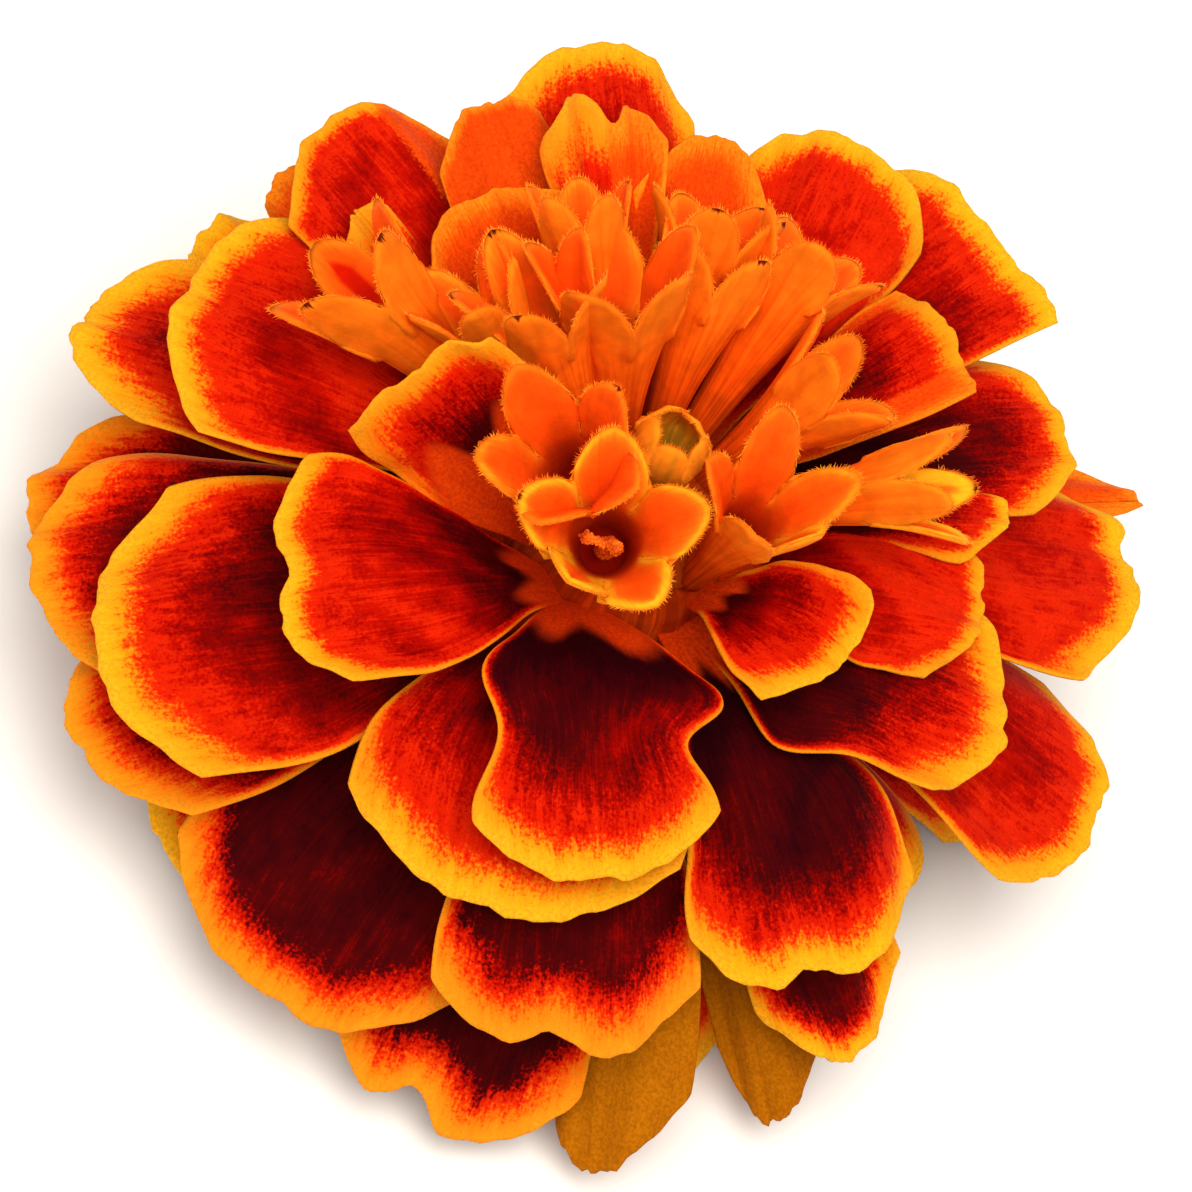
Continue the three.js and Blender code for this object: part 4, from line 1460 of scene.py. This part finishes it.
FLORETS = (
    Floret(turn=266, lean=24, out=4, tube=7.4, mouth=1.9, lobe=4.4, flare=35, spin=30, wide=0.6, droop=-16,
           gilt=1, open=True),
    Floret(turn=234, lean=31, tube=7, mouth=1.9, lobe=5.2, flare=24, spin=15, wide=0.4, droop=-6),
    Floret(turn=176, lean=49, tube=8, mouth=1.5, lobe=4.5, flare=18, spin=25),
    Floret(turn=182, lean=66, tube=10.8, mouth=1.8, lobe=6, flare=20, spin=0, wide=0.5, blush=0.8),
    Floret(turn=170, lean=38, tube=7.6, mouth=1.7, lobe=5.2, flare=24, spin=8),
    Floret(turn=144, lean=32, tube=6.8, mouth=2, lobe=5.4, flare=22, spin=16, wide=0.5),
    Floret(turn=106, lean=42, tube=7.2, mouth=1.9, lobe=4.2, flare=16, spin=36),
    Floret(turn=84, lean=50, tube=9.4, mouth=1.9, lobe=3.8, flare=26, spin=5),
    Floret(turn=55, lean=45, tube=6, mouth=1.7, lobe=4.4, flare=22, spin=5, open=True),
    Floret(turn=338, lean=10, out=4.2, tube=7.2, mouth=1.6, lobe=5, flare=24, spin=33, wide=0.4, droop=-14,
           gilt=0.6),
    Floret(turn=22, lean=50, tube=8.2, mouth=1.4, lobe=5.4, flare=16, spin=57, gilt=0.9),
    Floret(turn=107, lean=51, tube=8.8, mouth=1.8, lobe=4, flare=20, spin=62),
    Floret(turn=140, lean=49, tube=9.6, mouth=1.5, lobe=3.6, flare=14, spin=10),
    Floret(turn=100, lean=3, tube=3.6, mouth=1.6, lobe=2.2, flare=-20, spin=0, bud=0.9),
)


@dataclass
class DiscFlorets:
    """The raised centre: florets on a low mound, with fuzz on their lobes and styles in their mouths.

    Attributes:
        finish: The florets' material.
        fuzz: The hairs' material.
        pollen: The styles' and grains' material.
        tube_rows: Points up a tube.
        lobe_rows: Points along a lobe.
        lobe_columns: Points across a lobe.
        thickness: Of the wall.
        rim: How far in from the edge the wall reaches its full thickness.
        ripples: How many ripples the mound has round its side.
        ripple: Their height, as a share of its radius.
        column: Radius of an anther column at its ends.
        branch: Radius of a style's branches between their lumps.
        node: The node that they stand for.
    """

    finish: Material
    fuzz: Material
    pollen: Material
    tube_rows: int = 14
    lobe_rows: int = 14
    lobe_columns: int = 14
    thickness: float = 0.32
    rim: float = 0.3
    ripples: int = 13
    ripple: float = 0.03
    column: float = 0.34
    branch: float = 0.22
    node: str = "disc_florets"

    def floret_skin(self, floret: Floret, number: int) -> Skin:
        """Builds one floret.

        Args:
            floret: Its sizes.
            number: Its place, which seeds what varies.

        Returns:
            Its closed skin.
        """
        tube, lobes = np.linspace(0.0, 1.0, self.tube_rows), np.linspace(1.0, 2.0, self.lobe_rows)
        up = np.concatenate([tube[:-1], lobes])
        t = np.linspace(-1.0, 1.0, self.lobe_columns + 1)[:-1]
        u, e = np.meshgrid(up, np.tile(np.sin(t * math.pi / 2.0), LOBES), indexing="ij")
        lobe = np.repeat(np.repeat(np.arange(LOBES), self.lobe_columns)[None, :], len(up), axis=0)
        first = int(np.searchsorted(up, THROAT))
        back = slice(-2, first - 1, -1)

        def walls(outside: Array, inside: Array, foot: object, throat: object) -> Array:
            """What the outer wall has, the inner wall from the mouth down, and the two poles."""
            flat = (-1, *outside.shape[2:])
            return np.concatenate([outside.reshape(flat), inside[back].reshape(flat), [foot, throat]])

        middle = floret.surface(u, lobe, e)
        wrapped = np.concatenate([middle[:, -1:], middle, middle[:, :1]], axis=1)
        normal = unit(np.cross(np.gradient(wrapped, axis=1), np.gradient(wrapped, axis=0)))[:, 1:-1]
        inset = nearest(middle, refined(np.concatenate([middle[-1], middle[-1][:1]])))
        half = rounded_half(inset, self.rim, self.thickness)
        half[-1] = 0.0
        offset = normal * half[..., None]
        points = walls(middle + offset, middle - offset, middle[0].mean(0), middle[first].mean(0))
        faces = ring_faces(2 * len(up) - 1 - first, e.shape[1])

        height = np.clip(u / 1.6, 0.0, 1.0)
        low = np.maximum(np.cos(floret.middle(lobe)), 0.0)
        gilded = np.clip(floret.gilt * (1.0 + low), 0.0, 1.0)
        depth = 1.0 - gilded * (1.0 - np.clip(inset - 0.7 * low * floret.gilt, 0.0, 1.0))
        # How far down the tube a point lies, where the finish paints a dark red that is partly painted shade
        deep = (1.0 - ease(u, 0.55, 1.6)) ** 1.4
        blush = floret.blush * ease(u, 1.05, 1.3) * bell(e, 0.0, 0.45) * (1.0 - ease(u, 1.6, 1.95))
        marked = np.random.default_rng(number + 40).random(LOBES) < 0.35
        speck = bell(e, 0.0, 0.3) * ease(u, 1.88, 1.96) * marked[lobe] * (1.0 - floret.bud)
        none, full, bud = np.zeros(u.shape), np.ones(u.shape), np.full(u.shape, floret.bud)
        values = {
            "margin": walls(depth, depth, 1.0, 1.0),
            "height": walls(height, height, 0.0, 0.5),
            "inside": walls(none, full, 0.0, 1.0),
            "throat": walls(none, deep, 0.0, 1.0),
            "blush": walls(none, blush, 0.0, 0.0),
            "bud": walls(bud, bud, floret.bud, floret.bud),
            "speck": walls(speck, speck, 0.0, 0.0),
        }
        along = np.where(u < 1.0, u * floret.tube, floret.tube + (u - 1.0) * floret.lobe)
        grain = np.stack([lobe * 4.0 + e * 1.4 + number * 29.3, along], axis=-1)
        return Skin(points, faces, values, walls(grain, grain, (0.0, 0.0), (0.0, 0.0)))

    def mound_skin(self) -> Skin:
        """Builds the mound under the florets, with low ripples round its side.

        Returns:
            Its closed skin.
        """

        def rippled(out: Array, up: Array, angle: Array) -> Array:
            """The radius with ripples that slant up the side."""
            return out * (1.0 + self.ripple * np.cos(self.ripples * angle + 9.0 * up))

        steps = np.linspace(0.0, math.pi / 2.0, 14)
        dome = np.stack([MOUND_RADIUS * np.cos(steps), MOUND_FOOT + MOUND_RISE * np.sin(steps)], axis=-1)
        profile = np.concatenate([[[0.0, MOUND_FOOT]], dome])
        return Skin.turned(profile, sides=60, shape=rippled).evenly(**CORE_LOOK, bud=0.1)

    def edge_lines(self) -> Object:
        """Draws the edges of all lobes as lines, each point with the way that its hairs point.

        Returns:
            The lines.
        """
        e = np.sin(np.linspace(-0.97, 0.97, 33) * math.pi / 2.0)
        points: list[Array] = []
        ways: list[Array] = []
        for floret in FLORETS:
            for lobe in range(LOBES):
                which = np.full(e.shape, lobe)
                rim = floret.surface(np.full(e.shape, 2.0), which, e)
                back = floret.surface(np.full(e.shape, 1.9), which, e * 0.9)
                points.append(rim)
                ways.append(unit(rim - back))
        lines = np.arange(len(points) * len(e)).reshape(-1, len(e))
        edges = np.stack([lines[:, :-1], lines[:, 1:]], axis=-1).reshape(-1, 2)
        mesh = bpy.data.meshes.new("lobe_edges")
        mesh.from_pydata((np.concatenate(points) * MM).tolist(), edges.tolist(), [])
        layer = mesh.attributes.new("way", "FLOAT_VECTOR", "POINT")
        layer.data.foreach_set("vector", np.concatenate(ways).astype(np.float32).ravel())
        return linked("lobe_edges", mesh)

    def style_skins(self, floret: Floret) -> list[Skin]:
        """Builds the anther column and the two curled branches of the style in one mouth.

        Args:
            floret: Whose mouth it is.

        Returns:
            Their closed skins.
        """
        axis, outward, side = floret.axes()
        foot = floret.base() + axis * floret.tube * 0.7
        top = floret.base() + axis * (floret.tube + 0.2) + side * 0.25
        path = foot + (top - foot) * np.linspace(0.0, 1.0, 8)[:, None]
        skins = [Skin.tube(path, self.column + 0.1 * np.sin(np.linspace(0.2, 2.9, 8)), sides=12)]
        bend = np.linspace(0.0, 1.0, 9)[:, None]
        for sign, height, spread in ((-1.0, 0.5, 1.15), (1.0, 1.15, 0.4)):
            lean = (side * sign + outward * 0.35) * spread * bend**1.3
            path = top + axis * height * bend * (1.4 - 0.4 * bend) + lean
            lumps = self.branch + 0.08 * np.sin(np.linspace(0.0, 7.0, 9) + height)
            skins.append(Skin.tube(path, lumps, sides=10))
        return skins

    def build(self) -> list[Object]:
        """Builds the florets, their fuzz and their styles.

        Returns:
            The pieces.
        """
        skins = [self.mound_skin()] + [self.floret_skin(floret, k) for k, floret in enumerate(FLORETS)]
        florets = Skin.joined(skins).mesh_object("disc_florets_open", self.finish)
        fuzz = grown(self.edge_lines(), hair_tree(), {"Material": self.fuzz}, "lobe_fuzz")
        open_mouths = [floret for floret in FLORETS if floret.open]
        styles = Skin.joined([skin for floret in open_mouths for skin in self.style_skins(floret)])
        pistils = styles.mesh_object("floret_styles", self.pollen)
        ground = styles.mesh_object("pollen_ground", self.pollen)
        grains = {"Apart": 0.00014, "Size": 0.00013, "Flat": 1.0, "Seed": 3, "Material": self.pollen}
        pollen = grown(ground, scatter_tree(), grains, "pollen_grains")
        pieces = [florets, fuzz, pistils, pollen]
        for piece in pieces:
            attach(piece, BODY)
        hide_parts(self.node)
        return pieces


# Geometry Nodes


def planted(
    tree: Tree, material: Socket, points: Socket, item: Socket, turn: Socket, scale: Socket
) -> Socket:
    """Sets an item on every point and makes it real mesh.

    Args:
        tree: The tree's writer.
        material: What covers the items.
        points: Where they stand.
        item: The shape of one.
        turn: The rotation of each.
        scale: The size of each.

    Returns:
        The geometry.
    """
    inputs = {"Points": points, "Instance": item, "Rotation": turn, "Scale": scale}
    placed = tree.add("GeometryNodeInstanceOnPoints", inputs).outputs[0]
    real = tree.add("GeometryNodeRealizeInstances", {0: placed}).outputs[0]
    return tree.add("GeometryNodeSetMaterial", {"Geometry": real, "Material": material}).outputs[0]


def hair_tree() -> NodeTree:
    """Writes the tree for short tapered hairs along lines, each leaning a little its own way.

    Returns:
        The tree.
    """
    inputs = {"Geometry": GEOMETRY, "Spacing": 0.00006, "Length": 0.0003, "Thickness": 0.00004}
    inputs |= {"Seed": 7, "Material": MATERIAL}
    made, tree, given, out = new_tree("GeometryNodeTree", "hairs_along_edges", inputs, {"Geometry": GEOMETRY})
    seed, thick = given["Seed"], given["Thickness"]
    curve = tree.add("GeometryNodeMeshToCurve", {0: given["Geometry"]}).outputs[0]
    spaced = {"Curve": curve, "Length": given["Spacing"]}
    points = tree.add("GeometryNodeResampleCurve", spaced, mode="LENGTH").outputs[0]
    way = tree.add("GeometryNodeInputNamedAttribute", {"Name": "way"}, data_type="FLOAT_VECTOR").outputs[0]
    aside = {0: (-0.55, -0.55, -0.55), 1: (0.55, 0.55, 0.55), "Seed": seed}
    spray = tree.add("FunctionNodeRandomValue", aside, data_type="FLOAT_VECTOR").outputs[0]
    aim = tree.add("ShaderNodeVectorMath", {0: way, 1: spray}, operation="ADD").outputs[0]
    turn = tree.add("FunctionNodeAlignRotationToVector", {"Vector": aim}, axis="Z").outputs[0]
    share = tree.add("FunctionNodeRandomValue", {LEAST: 0.35, MOST: 1.0, "Seed": seed}, data_type="FLOAT")
    length = tree.math("MULTIPLY", share.outputs[DRAWN], given["Length"])
    scale = tree.add("ShaderNodeCombineXYZ", {0: thick, 1: thick, 2: length}).outputs[0]
    tapered = {"Vertices": 3, "Radius Top": 0.12, "Radius Bottom": 0.5, "Depth": 1.0}
    cone = tree.add("GeometryNodeMeshCone", tapered).outputs[0]
    tree.feed(out["Geometry"], planted(tree, given["Material"], points, cone, turn, scale))
    return made


def scatter_tree() -> NodeTree:
    """Writes the tree for small round grains over a surface, of uneven size.

    Returns:
        The tree.
    """
    inputs = {"Geometry": GEOMETRY, "Apart": 0.0002, "Size": 0.0001, "Flat": 1.0}
    inputs |= {"Seed": 3, "Material": MATERIAL}
    made, tree, given, out = new_tree("GeometryNodeTree", "grains_on_surface", inputs, {"Geometry": GEOMETRY})
    seed = given["Seed"]
    where = {"Mesh": given["Geometry"], "Distance Min": given["Apart"], "Density Max": 3e8, "Seed": seed}
    spread = tree.add("GeometryNodeDistributePointsOnFaces", where, distribute_method="POISSON").outputs
    share = tree.add("FunctionNodeRandomValue", {LEAST: 0.6, MOST: 1.0, "Seed": seed}, data_type="FLOAT")
    size = tree.math("MULTIPLY", share.outputs[DRAWN], given["Size"])
    flat = tree.math("MULTIPLY", size, given["Flat"])
    scale = tree.add("ShaderNodeCombineXYZ", {0: size, 1: size, 2: flat}).outputs[0]
    ball = tree.add("GeometryNodeMeshUVSphere", {"Segments": 8, "Rings": 5, "Radius": 1.0}).outputs[0]
    grain = tree.add("GeometryNodeSetShadeSmooth", {0: ball}).outputs[0]
    grains = planted(tree, given["Material"], spread["Points"], grain, spread["Rotation"], scale)
    tree.feed(out["Geometry"], grains)
    return made


def grown(source: Object, tree: NodeTree, inputs: dict[str, object], name: str) -> Object:
    """Runs a Geometry Nodes tree on an object and keeps its result as a plain mesh.

    Args:
        source: The object that it grows on, which is removed.
        tree: The tree.
        inputs: Values for its inputs, by name.
        name: The new piece's name.

    Returns:
        The piece.
    """
    modifier = source.modifiers.new("grow", "NODES")
    modifier.node_group = tree
    sockets = {item.name: item.identifier for item in tree.interface.items_tree if item.in_out == "INPUT"}
    for key, value in inputs.items():
        modifier[sockets[key]] = value
    bpy.context.view_layer.update()
    evaluated = source.evaluated_get(bpy.context.evaluated_depsgraph_get())
    mesh = bpy.data.meshes.new_from_object(evaluated)
    source.modifiers.remove(modifier)
    bpy.data.objects.remove(source)
    mesh.name = name
    return linked(name, mesh)


# Green cup


@dataclass
class Involucre:
    """The green cup of fused bracts under the petals, cut off square where the stem was.

    Attributes:
        finish: The cup's material.
        gland: The oil glands' material.
        bracts: How many bracts it is fused from.
        rib: Height of a bract's rib, as a share of the radius.
        profile: Radius and height from the cut face to the rim, as in its solid.
        tooth_half: Half width of a bract's free tip at its foot.
        tooth_foot: Radius and height where the tip starts.
        tooth_reach: How far it goes out and up from there.
        tooth_wall: Half its thickness.
        gland_band: Heights between which oil glands grow.
        node: The node that it stands for.
    """

    finish: Material
    gland: Material
    bracts: int = 9
    rib: float = 0.045
    profile: Outline = (
        (0, 0), (2.2, 0), (3.1, 0), (3.2, 0.12), (3, 1.2), (3.5, 2.2), (4.4, 3.6), (5, 5.2), (5.3, 7),
        (5.45, 9.4), (5.5, 11.2), (5.3, 11.6), (0, 11.6),
    )
    tooth_half: float = 1.75
    tooth_foot: tuple[float, float] = (5.42, 10.6)
    tooth_reach: tuple[float, float] = (0.75, 2.3)
    tooth_wall: float = 0.14
    gland_band: tuple[float, float] = (3.0, 10.4)
    node: str = "involucre"

    def cup(self) -> Skin:
        """Builds the cup, with a rib along each bract and a groove between two.

        Returns:
            Its closed skin.
        """

        def ribbed(out: Array, up: Array, angle: Array) -> Array:
            """The radius with its ribs, which fade towards the cut face."""
            ridge = np.abs(np.cos(angle * self.bracts / 2.0)) ** 0.6 - 0.75
            return out * (1.0 + self.rib * ridge * ease(up, 1.0, 4.0) * ease(out, 2.5, 4.5))

        skin = Skin.turned(refined(np.array(self.profile), parts=5), sides=180, shape=ribbed)
        x, y, up = skin.points.T
        middle = np.abs(np.cos(np.arctan2(y, x) * self.bracts / 2.0))
        skin.values = {
            "rib": bell(middle, 1.0, 0.05) * ease(up, 0.5, 3.0),
            "tooth": ease(up, 11.0, 11.6) * 0.4,
            "pith": (1.0 - ease(np.hypot(x, y), 2.0, 2.5)) * (1.0 - ease(up, 0.0, 0.05)),
        }
        return skin

    def tooth(self, number: int) -> Skin:
        """Builds one free tip of a bract, which bends out under the petals.

        Args:
            number: Which bract it ends.

        Returns:
            Its closed skin.
        """
        u, v = np.meshgrid(np.linspace(0.0, 1.0, 14), np.linspace(-1.0, 1.0, 11), indexing="ij")
        half = self.tooth_half * (1.0 - u) ** 0.75 + 0.05
        angle = 2.0 * math.pi * number / self.bracts + v * half / 5.6
        out = self.tooth_foot[0] + self.tooth_reach[0] * u**1.4 + 0.1 * (1.0 - v * v)
        up = self.tooth_foot[1] + self.tooth_reach[1] * u
        points = np.stack([out * np.cos(angle), out * np.sin(angle), up], axis=-1)
        normal = unit(np.cross(np.gradient(points, axis=1), np.gradient(points, axis=0)))
        offset = np.zeros_like(points)
        offset[1:-1, 1:-1] = normal[1:-1, 1:-1] * self.tooth_wall
        grain = np.stack([v * half + number * 5.0, up], axis=-1)
        values = {"rib": bell(v, 0.0, 0.12) * 0.8, "tooth": ease(u, 0.55, 1.0), "pith": np.zeros_like(u)}
        made = Skin.blade(points, offset, grain, values, under={})
        made.faces = flipped(made.faces)
        return made

    def gland_ground(self) -> Object:
        """Builds the part of the cup's side where oil glands grow.

        Returns:
            The object.
        """
        skin = self.cup()
        low, high = self.gland_band
        inside = (skin.points[:, 2] > low) & (skin.points[:, 2] < high)
        skin.faces = [face for face in skin.faces if inside[list(face)].all()]
        return skin.mesh_object("gland_ground", self.gland)

    def build(self) -> list[Object]:
        """Builds the cup with its teeth, and its oil glands.

        Returns:
            The pieces.
        """
        skins = [self.cup()] + [self.tooth(number) for number in range(self.bracts)]
        cup = Skin.joined(skins).mesh_object("involucre_cup", self.finish)
        glands = {"Apart": 0.0013, "Size": 0.00016, "Flat": 0.5, "Seed": 11, "Material": self.gland}
        dots = grown(self.gland_ground(), scatter_tree(), glands, "oil_glands")
        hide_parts(self.node)
        for piece in (cup, dots):
            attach(piece, BODY)
        return [cup, dots]


# Stage, camera and light


@dataclass(frozen=True)
class Studio:
    """A plain pale floor, soft light and the camera at the photograph's angle.

    Attributes:
        elevation: Of the camera above the level, in degrees.
        roll: Of the camera about its own line, in degrees.
        distance: From the camera to what it aims at, in metres.
        lens: Focal length on the sensor.
        sensor: Width of the sensor.
        aim: Height of what it aims at, in metres.
        bloom: Height of what the lamps face, in metres.
        shift: How far the aim lies to the right and up in the picture, in metres.
        reach: How far the floor goes to each side, in metres.
        fill: Strength of the plain light from all round.
    """

    elevation: float = 57.0
    roll: float = 30.0
    distance: float = 0.28
    lens: float = 169.1
    sensor: float = 36.0
    aim: float = 0.0085
    bloom: float = 0.012
    shift: tuple[float, float] = (0.00055, 0.0002)
    reach: float = 3.0
    fill: float = 0.6

    def axes(self) -> tuple[Vector, Vector, Vector]:
        """Works out how the camera stands.

        Returns:
            Its right, up and backward directions.
        """
        e, r = math.radians(self.elevation), math.radians(self.roll)
        back = Vector((0.0, -math.cos(e), math.sin(e)))
        level, upright = Vector((1.0, 0.0, 0.0)), Vector((0.0, math.sin(e), math.cos(e)))
        right = level * math.cos(r) + upright * math.sin(r)
        up = upright * math.cos(r) - level * math.sin(r)
        return right, up, back

    def camera(self) -> None:
        """Sets the camera up and makes it the scene's own."""
        right, up, back = self.axes()
        target = Vector((0.0, 0.0, self.aim)) + right * self.shift[0] + up * self.shift[1]
        data = bpy.data.cameras.new("camera")
        data.lens, data.sensor_width = self.lens, self.sensor
        data.clip_start, data.clip_end = 0.01, 20.0
        made = linked("camera", data)
        turn = Matrix((right, up, back)).transposed().to_4x4()
        made.matrix_world = Matrix.Translation(target + back * self.distance) @ turn
        bpy.context.scene.camera = made

    def lamp(
        self, name: str, place: tuple[float, float, float], power: float, size: float, tint: str
    ) -> None:
        """Adds a soft square lamp that faces the bloom.

        Args:
            name: Its name.
            place: Where it hangs, in metres.
            power: In watts.
            size: Length of its sides, in metres.
            tint: Its colour.
        """
        data = bpy.data.lights.new(name, "AREA")
        data.energy, data.size, data.color = power, size, paint(tint)[:3]
        made = linked(name, data)
        made.location = place
        made.rotation_mode = "QUATERNION"
        faced = Vector((0.0, 0.0, self.bloom)) - Vector(place)
        made.rotation_quaternion = faced.to_track_quat("-Z", "Y")

    def floor(self) -> None:
        """Lays the pale floor."""
        mesh = bpy.data.meshes.new("floor")
        signs = ((-1, -1), (1, -1), (1, 1), (-1, 1))
        mesh.from_pydata([(self.reach * x, self.reach * y, 0.0) for x, y in signs], [], [(0, 1, 2, 3)])
        made, tree, shader = new_material("pale_floor")
        dull = {"Base Color": paint("fbfaf8"), "Roughness": 0.8, "Specular IOR Level": 0.1}
        for key, value in dull.items():
            tree.feed(shader.inputs[key], value)
        mesh.materials.append(made)
        ground = linked("floor", mesh)

    def sky(self) -> None:
        """Fills in with plain light from all round."""
        world = bpy.data.worlds.new("studio")
        world.use_nodes = True
        background = world.node_tree.nodes["Background"]
        background.inputs["Color"].default_value = paint("fbf8f4")
        background.inputs["Strength"].default_value = self.fill
        bpy.context.scene.world = world

    def build(self) -> None:
        """Sets the whole studio up."""
        self.camera()
        self.floor()
        self.sky()
        self.lamp("key", place=(0.05, -0.12, 0.5), power=2.9, size=0.42, tint="fff6ea")
        self.lamp("fill", place=(-0.3, -0.3, 0.34), power=0.5, size=0.4, tint="fff8f2")
        scene = bpy.context.scene
        scene.view_settings.view_transform = "Standard"
        scene.view_settings.look = "None"


def main() -> None:
    """Builds the bloom and its studio, and logs how many faces each piece of the bloom has."""
    logging.basicConfig(level=logging.INFO, format="%(name)s: %(message)s")
    Studio().build()
    effects = Effects(fibres=fibre_group(), velvet=velvet_group())
    petal = PetalFinish().material(effects)
    floret = FloretFinish().material(effects)
    fuzz = FuzzFinish().material(effects)
    pollen = FuzzFinish("pollen_orange", light="fa7c18", dark="b84208").material(effects)
    green = BractFinish().material(effects)
    gland = FuzzFinish("oil_gland", light="b8701c", dark="8a4a14", roughness=0.35).material(effects)
    parts = (
        RayPetals(finish=petal, flesh=floret),
        DiscFlorets(finish=floret, fuzz=fuzz, pollen=pollen),
        Involucre(finish=green, gland=gland),
    )
    for part in parts:
        for piece in part.build():
            log.info("%s: %d faces", piece.name, len(piece.data.polygons))


if __name__ == "__main__":
    main()
